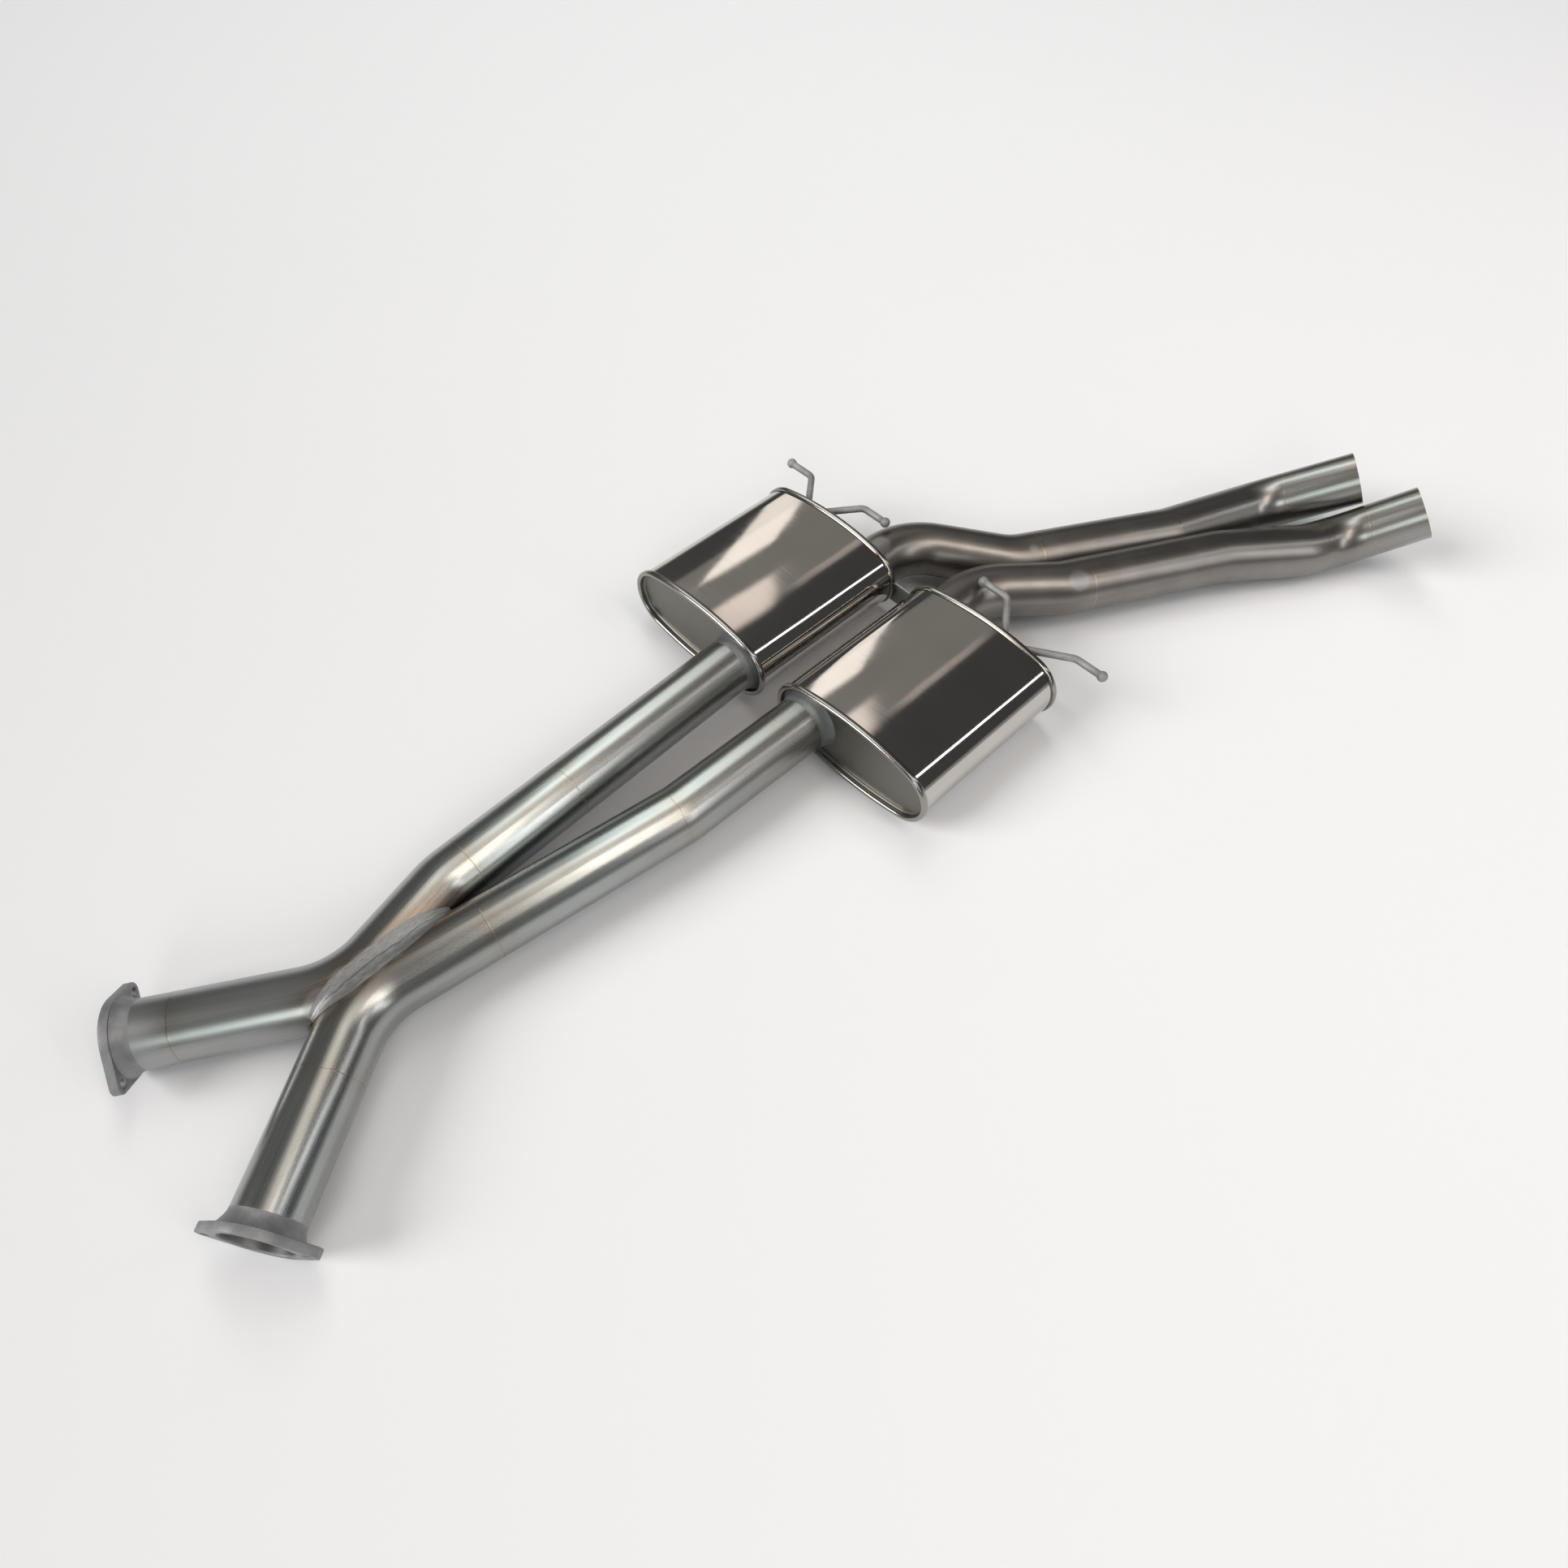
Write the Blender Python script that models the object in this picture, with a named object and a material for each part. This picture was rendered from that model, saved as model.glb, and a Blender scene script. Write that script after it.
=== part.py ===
"""Twin racing exhaust: two flanged tubes, an X crossover, two oval mufflers and two tail pipes.

Lengths are in metres and angles in degrees. While it is modelled, x runs rearwards from the mufflers'
front rims, y runs to the car's right from the middle line, and z is up from the mufflers' mid height.
At the end the whole exhaust is moved so that its origin is the bottom centre of its box.
"""

import math

import bmesh
import bpy
from mathutils import Matrix, Vector

# Tube and bends
TUBE_OD = 0.0762
TUBE_WALL = 0.0016
FRONT_BEND_RADIUS = 0.1143
REAR_BEND_RADIUS = 0.108
TAIL_BEND_RADIUS = 0.095
TUBE_SIDES = 16
ARC_STEP = 13.0
CLEARANCE = 0.0003
ROUTE_SAMPLES = 160

# Inlet flanges
FLANGE_THICKNESS = 0.010
FLANGE_LAND = 0.0079
FLANGE_EAR_RADIUS = 0.0115
FLANGE_BOLT_MARGIN = 0.0139
FLANGE_BOLT_HOLE = 0.011
FLANGE_PIPE_SETBACK = 0.002

# Mufflers
MUFFLER_LENGTH = 0.2655
SHELL_WIDTH = 0.250
SHELL_CROWN = 0.009
SHELL_WALL = 0.0012
RIM_PROUD = 0.003
RIM_LENGTH = 0.009
RIM_LIP = 0.004
CAP_RECESS = 0.009
CAP_WALL = 0.002
LINE_GAP = 0.0605
PORT_SIDE_GAP = 0.0091
PORT_END_GAP = 0.0036
PORT_DEPTH = 0.030
PORT_STUB = 0.020
PACKING_SLACK = 0.0006
CORE_ROWS = 4
CORE_COLUMNS = 9
CORE_HOLE = 0.011

# Welds
BEAD_WIDTH = 0.006
BEAD_HEIGHT = 0.0009
COLLAR_LENGTH = 0.013
COLLAR_RISE = 0.0043
FLANGE_COLLAR_LENGTH = 0.016
FLANGE_COLLAR_RISE = 0.0065
CROSS_WELD_HALF_WIDTH = 0.014
CROSS_WELD_EDGE = 0.0006
CROSS_WELD_SEAT = 0.0007
CROSS_WELD_END_HEIGHT = 0.016
CROSS_WELD_STATIONS = 22
CROSS_WELD_HOLLOW = 0.45

# Hanger rods
ROD_DIAMETER = 0.010
ROD_SIDES = 8
ROD_BALL_DIAMETER = 0.0145
ROD_DROP = 0.017
ROD_PIPE_GAP = 0.0016
ROD_BEND_RADIUS = 0.014
ROD_ARM = 0.049
ROD_ARC_STEP = 24.0
# Rods bent by hand: (foot and knee outwards from the muffler's middle, knee behind the rim)
OUTER_RODS = {"right": (0.050, 0.093, 0.051), "left": (0.052, 0.118, 0.041)}
INNER_RODS = {"right": (0.030, -0.016, 0.047), "left": (0.031, -0.010, 0.056)}

# Brace plate between the rear rims
BRACE_THICKNESS = 0.004
BRACE_HEIGHT = 0.034
BRACE_DROP = 0.012
BRACE_PIPE_GAP = 0.0024

# Front lines, from the muffler forwards: (plan length, heading of the run towards the rear)
FRONT_RUNS = {
    "right": ((0.451, 1.9), (0.160, 14.8), (0.235, -31.4)),
    "left": ((0.191, -1.1), (0.412, -8.0), (0.252, 34.9)),
}
# Rear lines: the right one's straight start behind the rim, the room between the two lines where they
# pass, and the runs after the start as (plan length, heading, rise)
REAR_START = 0.0725
REAR_GAP = 0.0019
REAR_RUNS = {
    "right": ((0.161, -49.5, -0.0182), (0.2515, -29.6, 0.0), (0.175, -21.2, 0.0), (0.121, -51.6, 0.0665)),
    "left": ((0.1265, -38.6, -0.004), (0.2505, -28.0, -0.001), (0.1395, -33.9, -0.009),
             (0.0675, -20.3, -0.0055), (0.099, -49.7, 0.0655)),
}
# Where the tubes are butt-welded: how far each cross bend reaches before and behind the crossing, and the
# lengths of the pieces that follow it; inlet_pipe, mid_pipe and rear_pipe take up what is left
CROSS_REACH = {"right": (0.194, 0.166), "left": (0.106, 0.128)}
FRONT_PIECES = {
    "right": {"muffler_inlet_pipe": 0.318},
    "left": {"mid_bend": 0.169, "muffler_inlet_pipe": 0.081},
}
REAR_PIECES = {
    "right": {"outlet_bend": 0.298, "tail_bend": 0.2055, "tail_pipe": 0.099},
    "left": {"outlet_bend": 0.264, "tail_bend": 0.091, "tail_pipe": 0.070},
}

# Worked out from the sizes above
TUBE_RADIUS = TUBE_OD / 2
TUBE_BORE_RADIUS = TUBE_RADIUS - TUBE_WALL
SEAT_RADIUS = TUBE_RADIUS + CLEARANCE
FLANGE_RADIUS = TUBE_RADIUS + FLANGE_LAND
COLLAR_RADIUS = TUBE_RADIUS + COLLAR_RISE
PORT_SPACING = TUBE_OD + LINE_GAP
PORT_OFFSET = SHELL_WIDTH / 2 - COLLAR_RADIUS - PORT_SIDE_GAP
MUFFLER_SPACING = PORT_SPACING + 2 * PORT_OFFSET
SHELL_END_RADIUS = COLLAR_RADIUS + PORT_END_GAP
SHELL_HEIGHT = 2 * (SHELL_END_RADIUS + SHELL_CROWN)
RIM_HALF_HEIGHT = SHELL_HEIGHT / 2 + RIM_PROUD
ROD_HEIGHT = SHELL_HEIGHT / 2 - ROD_DROP
INNER_ARM_HEIGHT = TUBE_RADIUS + ROD_BALL_DIAMETER / 2 + ROD_PIPE_GAP
FRONT_FALL = RIM_HALF_HEIGHT - FLANGE_RADIUS
SIDES = {"right": 1, "left": -1}
UP = Vector((0, 0, 1))


def steel(name, colour, roughness, metallic=1.0):
    """A plain metal material in a linear colour."""
    material = bpy.data.materials.new(name)
    material.use_nodes = True
    shader = material.node_tree.nodes["Principled BSDF"]
    shader.inputs["Base Color"].default_value = (*colour, 1.0)
    shader.inputs["Roughness"].default_value = roughness
    shader.inputs["Metallic"].default_value = metallic
    return material


def place(name, bm, material, frame):
    """Make an object from a mesh modelled in the exhaust's axes, with its origin at the given frame."""
    bm.transform(frame.inverted())
    bmesh.ops.recalc_face_normals(bm, faces=bm.faces)
    if bm.calc_volume(signed=True) < 0:
        bmesh.ops.reverse_faces(bm, faces=bm.faces)
    mesh = bpy.data.meshes.new(name)
    bm.to_mesh(mesh)
    bm.free()
    mesh.shade_smooth()
    mesh.set_sharp_from_angle(angle=math.radians(35))
    mesh.materials.append(material)
    item = bpy.data.objects.new(name, mesh)
    item.matrix_local = frame
    item.parent = exhaust
    bpy.context.collection.objects.link(item)
    return item


def skin(bm, loops, wrap=False, caps=False):
    """Join loops of equal count into one surface; wrap closes last to first, caps fills both ends."""
    rows = [[bm.verts.new(point) for point in loop] for loop in loops]
    pairs = list(zip(rows, rows[1:]))
    if wrap:
        pairs.append((rows[-1], rows[0]))
    for first, second in pairs:
        for i in range(len(first)):
            j = (i + 1) % len(first)
            bm.faces.new((first[i], first[j], second[j], second[i]))
    if caps:
        bm.faces.new(rows[0])
        bm.faces.new(rows[-1])
    return rows


def ring_edges(bm, row):
    """The edges round one row of vertices, made where they are missing."""
    edges = []
    for i, vertex in enumerate(row):
        pair = (vertex, row[(i + 1) % len(row)])
        edges.append(bm.edges.get(pair) or bm.edges.new(pair))
    return edges


def fill(bm, rows):
    """Fill a flat face that has the first row as its outline and the others as holes."""
    edges = [edge for row in rows for edge in ring_edges(bm, row)]
    bmesh.ops.triangle_fill(bm, use_beauty=True, edges=edges)


def plate(bm, outline, holes, thickness, frame):
    """A flat plate in the frame's xy plane with holes, from z = 0 to z = thickness."""
    ends = []
    for z in (0.0, thickness):
        ends.append([[frame @ Vector((x, y, z)) for x, y in loop] for loop in (outline, *holes)])
    walls = [skin(bm, pair) for pair in zip(*ends)]
    fill(bm, [rows[0] for rows in walls])
    fill(bm, [rows[1] for rows in walls])


def arc(centre, radius, start, end, steps):
    """Points on a plane arc, angles in radians."""
    turn = (end - start) / steps
    return [(centre[0] + radius * math.cos(start + turn * i), centre[1] + radius * math.sin(start + turn * i))
            for i in range(steps + 1)]


def circle(centre, radius, count):
    return arc(centre, radius, 0.0, 2 * math.pi, count)[:-1]


class Route:
    """A tube's centre line: straight runs joined by arcs, measured by the distance along it."""

    def __init__(self, corners, radii, arc_step=ARC_STEP):
        points = [corners[0]]
        tangents = [(corners[1] - corners[0]).normalized()]
        for before, corner, after, radius in zip(corners, corners[1:], corners[2:], radii):
            arrive = (corner - before).normalized()
            leave = (after - corner).normalized()
            turn = arrive.angle(leave)
            inward = (leave - arrive * arrive.dot(leave)).normalized()
            reach = radius * math.tan(turn / 2)
            middle = corner - arrive * reach + inward * radius
            steps = max(1, math.ceil(math.degrees(turn) / arc_step))
            for i in range(steps + 1):
                angle = turn * i / steps
                points.append(middle + radius * (arrive * math.sin(angle) - inward * math.cos(angle)))
                tangents.append(arrive * math.cos(angle) + inward * math.sin(angle))
        points.append(corners[-1])
        tangents.append((corners[-1] - corners[-2]).normalized())
        self.points = points
        self.tangents = tangents
        self.distances = [0.0]
        for first, second in zip(points, points[1:]):
            self.distances.append(self.distances[-1] + (second - first).length)
        self.length = self.distances[-1]

    def at(self, distance):
        """The point and the tangent at a distance along the line."""
        for i in range(len(self.points) - 1):
            if distance <= self.distances[i + 1] or i == len(self.points) - 2:
                share = (distance - self.distances[i]) / (self.distances[i + 1] - self.distances[i])
                point = self.points[i].lerp(self.points[i + 1], share)
                return point, self.tangents[i].lerp(self.tangents[i + 1], share).normalized()

    def stretch(self, start, end):
        """The stations from one distance to another, with each ring that the bends need between them."""
        inside = [i for i, d in enumerate(self.distances) if start + CLEARANCE < d < end - CLEARANCE]
        return [self.at(start), *((self.points[i], self.tangents[i]) for i in inside), self.at(end)]

    def nearest(self, spot):
        """How far from a spot the line passes, and how far along it that is."""
        best = None
        for i, (first, second) in enumerate(zip(self.points, self.points[1:])):
            along = second - first
            share = min(max((spot - first).dot(along) / along.length_squared, 0.0), 1.0)
            away = (first.lerp(second, share) - spot).length
            if best is None or away < best[0]:
                best = (away, self.distances[i] + share * along.length)
        return best

    def crown(self, x, y, radius):
        """The mid height and the height above it of a tube round the line, over a plan point."""
        best = None
        for first, second in zip(self.points, self.points[1:]):
            along = (second - first).xy
            share = (Vector((x, y)) - first.xy).dot(along) / along.length_squared
            near = first.lerp(second, min(max(share, 0.0), 1.0))
            distance = (near.xy - Vector((x, y))).length
            if best is None or distance < best[0]:
                best = (distance, near.z)
        if best[0] >= radius:
            return None
        return best[1], math.sqrt(radius ** 2 - best[0] ** 2)


def axes(tangent):
    """Sideways and upward directions of a tube's cross section."""
    side = UP.cross(tangent).normalized()
    return side, tangent.cross(side)


def frame_at(station):
    """A frame at a station: x sideways, y up, z along the tube."""
    point, tangent = station
    side, top = axes(tangent)
    return Matrix.Translation(point) @ Matrix((side, top, tangent)).transposed().to_4x4()


def section(station, radius, count=TUBE_SIDES, along=0.0):
    """A round cross section of a tube at a station, moved along its tangent."""
    point, tangent = station
    side, top = axes(tangent)
    centre = point + tangent * along
    return [centre + side * x + top * y for x, y in circle((0.0, 0.0), radius, count)]


def tube(name, stations, material):
    bm = bmesh.new()
    outer = [section(station, TUBE_RADIUS) for station in stations]
    inner = [section(station, TUBE_BORE_RADIUS) for station in reversed(stations)]
    skin(bm, outer + inner, wrap=True)
    return place(name, bm, material, frame_at(stations[0]))


def turned_ring(name, station, profile, material):
    """A ring round a tube: a closed profile of (distance along the tube, radius)."""
    bm = bmesh.new()
    skin(bm, [section(station, radius, along=along) for along, radius in profile], wrap=True)
    return place(name, bm, material, frame_at(station))


def bead(name, station, material):
    """The low weld bead that covers a butt joint."""
    half = BEAD_WIDTH / 2
    profile = [(-half, SEAT_RADIUS), (0.0, SEAT_RADIUS + BEAD_HEIGHT), (half, SEAT_RADIUS)]
    turned_ring(name, station, profile, material)


def collar(name, station, length, rise, direction, material):
    """A flared weld from a plate to a tube, hollow curved; it leaves the plate in the given direction."""
    flare = [(math.sin(a) * length, rise * (1 - math.cos(a))) for a in (0.0, math.pi / 4, math.pi / 2)]
    profile = [(0.0, SEAT_RADIUS)]
    for along, height in reversed(flare):
        profile.append((direction * (length - along), SEAT_RADIUS + CLEARANCE + height))
    profile.append((direction * length, SEAT_RADIUS))
    turned_ring(name, station, profile, material)


def front_route(side, port):
    """The centre line from an inlet flange to the inside of its muffler."""
    spans = [length * math.cos(math.radians(heading)) for length, heading in FRONT_RUNS[side]]
    slope = FRONT_FALL / sum(spans)
    corner = Vector((-PORT_STUB, port, 0.0))
    corners = [Vector((PORT_DEPTH, port, 0.0)), corner]
    for (length, heading), span in zip(FRONT_RUNS[side], spans):
        sideways = length * math.sin(math.radians(heading))
        corner = corner - Vector((span, sideways, slope * span))
        corners.append(corner)
    return Route(corners[::-1], [FRONT_BEND_RADIUS] * len(spans))


def rear_route(side, port, start):
    """The centre line from the inside of a muffler to its tail end, straight at first."""
    corner = Vector((MUFFLER_LENGTH + start, port, 0.0))
    corners = [Vector((MUFFLER_LENGTH - PORT_DEPTH, port, 0.0)), corner]
    for length, heading, rise in REAR_RUNS[side]:
        angle = math.radians(heading)
        corner = corner + Vector((length * math.cos(angle), length * math.sin(angle), rise))
        corners.append(corner)
    return Route(corners, [REAR_BEND_RADIUS] * (len(corners) - 3) + [TAIL_BEND_RADIUS])


def passing_route(side, port, other):
    """The rear line that starts just far enough back to lie beside the other line with the rear gap."""
    short, long = 0.0, MUFFLER_LENGTH
    for step in range(16):
        start = (short + long) / 2
        route = rear_route(side, port, start)
        stations = [route.at(route.length * i / ROUTE_SAMPLES)[0] for i in range(ROUTE_SAMPLES + 1)]
        if min(other.nearest(spot)[0] for spot in stations) > TUBE_OD + REAR_GAP:
            short = start
        else:
            long = start
    return route


def front_lengths(side, route, crossing):
    """The names and lengths of the tubes of one front line, from its flange to its muffler."""
    before, behind = CROSS_REACH[side]
    start = route.nearest(crossing)[1] - before
    lengths = {"inlet_pipe": start, "cross_bend": before + behind}
    spare = route.length - start - before - behind - sum(FRONT_PIECES[side].values())
    return {**lengths, "mid_pipe": spare, **FRONT_PIECES[side]}


def rear_lengths(side, route):
    """The names and lengths of the tubes of one rear line, from its muffler to its tail end."""
    lengths = REAR_PIECES[side]
    spare = route.length - sum(lengths.values())
    return {"outlet_bend": lengths["outlet_bend"], "rear_pipe": spare, **lengths}


def line_pieces(side, route, lengths):
    """The butt-welded tubes of one line and the beads on their seams."""
    tubes = {}
    start = 0.0
    for name, length in lengths.items():
        end = min(start + length, route.length)
        first = start + (CLEARANCE / 2 if start > 0.0 else 0.0)
        last = end - (CLEARANCE / 2 if end < route.length else 0.0)
        tubes[name] = tube(f"{side}_{name}", route.stretch(first, last), tube_steel)
        if end < route.length:
            bead(f"{side}_{name}_weld", route.at(end), weld_steel)
        start = end
    return tubes


def flange(side, route):
    """The two-bolt inlet flange: the pipe sits in its bore, a little behind its front face."""
    point, tangent = route.at(0.0)
    frame = frame_at((point - tangent * FLANGE_PIPE_SETBACK, tangent))
    half = TUBE_RADIUS + FLANGE_BOLT_MARGIN
    lean = math.acos((FLANGE_RADIUS - FLANGE_EAR_RADIUS) / half)
    outline = []
    for centre in (0.0, math.pi):
        ear = (half * math.cos(centre), 0.0)
        outline += arc(ear, FLANGE_EAR_RADIUS, centre - lean, centre + lean, 5)
        outline += arc((0.0, 0.0), FLANGE_RADIUS, centre + lean, centre + math.pi - lean, 8)
    bolts = [circle((x, 0.0), FLANGE_BOLT_HOLE / 2, 10) for x in (-half, half)]
    bm = bmesh.new()
    plate(bm, outline, [circle((0.0, 0.0), SEAT_RADIUS, TUBE_SIDES), *bolts], FLANGE_THICKNESS, frame)
    place(f"{side}_inlet_flange", bm, flange_steel, frame)
    back = FLANGE_THICKNESS - FLANGE_PIPE_SETBACK + CLEARANCE
    collar(f"{side}_flange_weld", route.at(back), FLANGE_COLLAR_LENGTH, FLANGE_COLLAR_RISE, 1, weld_steel)


def oval(offset):
    """The shell's outline moved outwards: two wide arcs over and under, two tight arcs at the ends."""
    end = SHELL_END_RADIUS
    half_width = SHELL_WIDTH / 2 - end
    half_height = SHELL_HEIGHT / 2
    wide = (half_width ** 2 + half_height ** 2 - end ** 2) / (2 * (half_height - end))
    lean = math.atan2(half_width, wide - half_height)
    points = []
    for turn in (0.0, math.pi):
        flip = math.cos(turn)
        top = (0.0, flip * (half_height - wide))
        points += arc((flip * half_width, 0.0), end + offset, turn + lean - math.pi / 2,
                      turn + math.pi / 2 - lean, 8)
        points += arc(top, wide + offset, turn + math.pi / 2 - lean, turn + math.pi / 2 + lean, 8)[1:-1]
    return points


def oval_loop(x, offset, middle):
    return [Vector((x, middle + y, z)) for y, z in oval(offset)]


def end_cap(name, middle, port, face, direction):
    """A recessed end plate whose rim is rolled over the shell's edge and down its outside."""
    inside = -SHELL_WALL - CLEARANCE
    fold = RIM_LENGTH / 3
    profile = [
        (CAP_RECESS, -RIM_LIP),
        (0.1 * RIM_LENGTH, -RIM_LIP),
        (0.0, -RIM_LIP / 3),
        (0.1 * RIM_LENGTH, 0.75 * RIM_PROUD),
        (0.4 * RIM_LENGTH, RIM_PROUD),
        (RIM_LENGTH, 0.6 * RIM_PROUD),
        (RIM_LENGTH, CLEARANCE),
        (fold, CLEARANCE),
        (fold, inside),
        (CAP_RECESS + CAP_WALL, inside),
    ]
    bm = bmesh.new()
    rows = skin(bm, [oval_loop(face + direction * depth, offset, middle) for depth, offset in profile])
    hole = []
    for depth in (CAP_RECESS, CAP_RECESS + CAP_WALL):
        x = face + direction * depth
        hole.append([Vector((x, port + y, z)) for y, z in circle((0.0, 0.0), SEAT_RADIUS, TUBE_SIDES)])
    bore = skin(bm, hole)
    fill(bm, [rows[0], bore[0]])
    fill(bm, [rows[-1], bore[1]])
    place(name, bm, cap_steel, Matrix.Translation((face, middle, 0.0)))


def core(name, port):
    """The perforated tube between the ends of the inlet and outlet pipes."""
    start = PORT_DEPTH + CLEARANCE
    length = MUFFLER_LENGTH - 2 * start
    pitch = length / (CORE_ROWS + 1)
    bm = bmesh.new()

    def spot(radius, along, turn):
        return bm.verts.new((start + along, port + radius * math.cos(turn), radius * math.sin(turn)))

    levels = [0.0] + [pitch * (row + 0.5) for row in range(CORE_ROWS + 1)] + [length]
    turns = [2 * math.pi * column / CORE_COLUMNS for column in range(CORE_COLUMNS)]
    walls = (TUBE_RADIUS, TUBE_BORE_RADIUS)
    grid = [[[spot(radius, level, turn) for turn in turns] for level in levels] for radius in walls]
    half_hole = CORE_HOLE / 2
    half_turn = half_hole / TUBE_RADIUS
    for column in range(CORE_COLUMNS):
        after = (column + 1) % CORE_COLUMNS
        centre = turns[column] + math.pi / CORE_COLUMNS
        for row in range(len(levels) - 1):
            cells = []
            for wall in grid:
                near, far = wall[row], wall[row + 1]
                cells.append((near[column], near[after], far[after], far[column]))
            if row in (0, len(levels) - 2):
                for cell in cells:
                    bm.faces.new(cell)
                continue
            middle = (levels[row] + levels[row + 1]) / 2
            corners = ((-1, -1), (-1, 1), (1, 1), (1, -1))
            holes = []
            for radius in walls:
                facet = radius * math.cos(math.pi / CORE_COLUMNS) / math.cos(half_turn)
                rim = [(middle + a * half_hole, centre + t * half_turn) for a, t in corners]
                holes.append([spot(facet, along, turn) for along, turn in rim])
            for i in range(4):
                j = (i + 1) % 4
                for cell, hole in zip(cells, holes):
                    bm.faces.new((cell[i], cell[j], hole[j], hole[i]))
                bm.faces.new((holes[0][i], holes[0][j], holes[1][j], holes[1][i]))
    for level in (0, -1):
        for column in range(CORE_COLUMNS):
            after = (column + 1) % CORE_COLUMNS
            outer, inner = grid[0][level], grid[1][level]
            bm.faces.new((outer[column], outer[after], inner[after], inner[column]))
    place(name, bm, core_steel, Matrix.Translation((start, port, 0.0)))


def packing(name, middle, port):
    """The sound-absorbing filling: the space between the shell, the end caps and the core."""
    start = CAP_RECESS + CAP_WALL + PACKING_SLACK
    length = MUFFLER_LENGTH - 2 * start
    frame = Matrix.Translation((start, middle, 0.0)) @ Matrix(((0, 0, 1), (1, 0, 0), (0, 1, 0))).to_4x4()
    hole = circle((port - middle, 0.0), SEAT_RADIUS + PACKING_SLACK, TUBE_SIDES)
    bm = bmesh.new()
    plate(bm, oval(-SHELL_WALL - PACKING_SLACK), [hole], length, frame)
    place(name, bm, packing_wool, frame)


def hanger(name, middle, sign, bends, outward, arm_height):
    """A bent hanger rod: back from the end cap, then sideways, with a ball tip that keeps the rubber on."""
    radius = ROD_DIAMETER / 2
    ball = ROD_BALL_DIAMETER / 2
    foot, knee, reach = bends
    rear = MUFFLER_LENGTH + reach
    corners = [
        Vector((MUFFLER_LENGTH - CAP_RECESS + CLEARANCE, middle + sign * foot, ROD_HEIGHT)),
        Vector((MUFFLER_LENGTH, middle + sign * foot, ROD_HEIGHT)),
        Vector((rear, middle + sign * knee, arm_height)),
        Vector((rear, middle + sign * (knee + outward * ROD_ARM), arm_height)),
    ]
    route = Route(corners, [ROD_BEND_RADIUS] * 2, ROD_ARC_STEP)
    neck = route.length - ball * (1 + math.sqrt(1 - (radius / ball) ** 2))
    loops = [section(station, radius, ROD_SIDES) for station in route.stretch(0.0, neck)]
    for share in (-0.5, 0.0, 0.45, 0.85):
        station = route.at(route.length - ball * (1 - share))
        loops.append(section(station, ball * math.sqrt(1 - share ** 2), ROD_SIDES))
    bm = bmesh.new()
    skin(bm, loops, caps=True)
    place(name, bm, rod_steel, frame_at(route.at(0.0)))


def muffler(side):
    """One muffler with its inner pieces, end caps, port welds and hanger rods."""
    sign = SIDES[side]
    middle = sign * MUFFLER_SPACING / 2
    port = middle - sign * PORT_OFFSET
    name = f"{side}_muffler"
    fold = RIM_LENGTH / 3 + CLEARANCE
    bm = bmesh.new()
    ends = (fold, MUFFLER_LENGTH - fold)
    edges = [(x, 0.0) for x in ends] + [(x, -SHELL_WALL) for x in reversed(ends)]
    skin(bm, [oval_loop(x, offset, middle) for x, offset in edges], wrap=True)
    place(f"{name}_shell", bm, shell_steel, Matrix.Translation((0.0, middle, 0.0)))
    end_cap(f"{name}_front_cap", middle, port, 0.0, 1)
    end_cap(f"{name}_rear_cap", middle, port, MUFFLER_LENGTH, -1)
    core(f"{name}_core", port)
    packing(f"{name}_packing", middle, port)
    along = Vector((1, 0, 0))
    front = (Vector((CAP_RECESS - CLEARANCE, port, 0.0)), along)
    rear = (Vector((MUFFLER_LENGTH - CAP_RECESS + CLEARANCE, port, 0.0)), along)
    collar(f"{name}_inlet_weld", front, COLLAR_LENGTH, COLLAR_RISE, -1, weld_steel)
    collar(f"{name}_outlet_weld", rear, COLLAR_LENGTH, COLLAR_RISE, 1, weld_steel)
    hanger(f"{side}_outer_hanger", middle, sign, OUTER_RODS[side], 1, ROD_HEIGHT)
    hanger(f"{side}_inner_hanger", middle, sign, INNER_RODS[side], -1, INNER_ARM_HEIGHT)
    return port


def merge_frame(routes):
    """The upright plane where the two cross bends meet: x along it, y to the right, at mid height."""
    headings = [heading for runs in FRONT_RUNS.values() for length, heading in runs[1:]]
    turn = math.radians(sum(headings) / len(headings))
    across = Vector((-math.sin(turn), math.cos(turn), 0.0))
    right = min(routes["right"].points, key=across.dot)
    left = max(routes["left"].points, key=across.dot)
    return Matrix.Translation((right + left) / 2) @ Matrix.Rotation(turn, 4, "Z")


def open_cross_bend(item, frame, sign, reach):
    """Cut a cross bend along the merge plane, so that its bore is open to the other one."""
    bm = bmesh.new()
    bmesh.ops.create_cube(bm, size=1.0)
    size = Matrix.Diagonal((reach, TUBE_OD, 2 * TUBE_OD, 1.0))
    bm.transform(frame @ Matrix.Translation((0.0, sign * (CLEARANCE - TUBE_OD) / 2, 0.0)) @ size)
    cutter = place(f"{item.name}_cutter", bm, tube_steel, frame)
    cutter.hide_render = True
    cutter.display_type = "WIRE"
    cut = item.modifiers.new("merge", "BOOLEAN")
    cut.operation = "DIFFERENCE"
    cut.solver = "EXACT"
    cut.object = cutter


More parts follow.
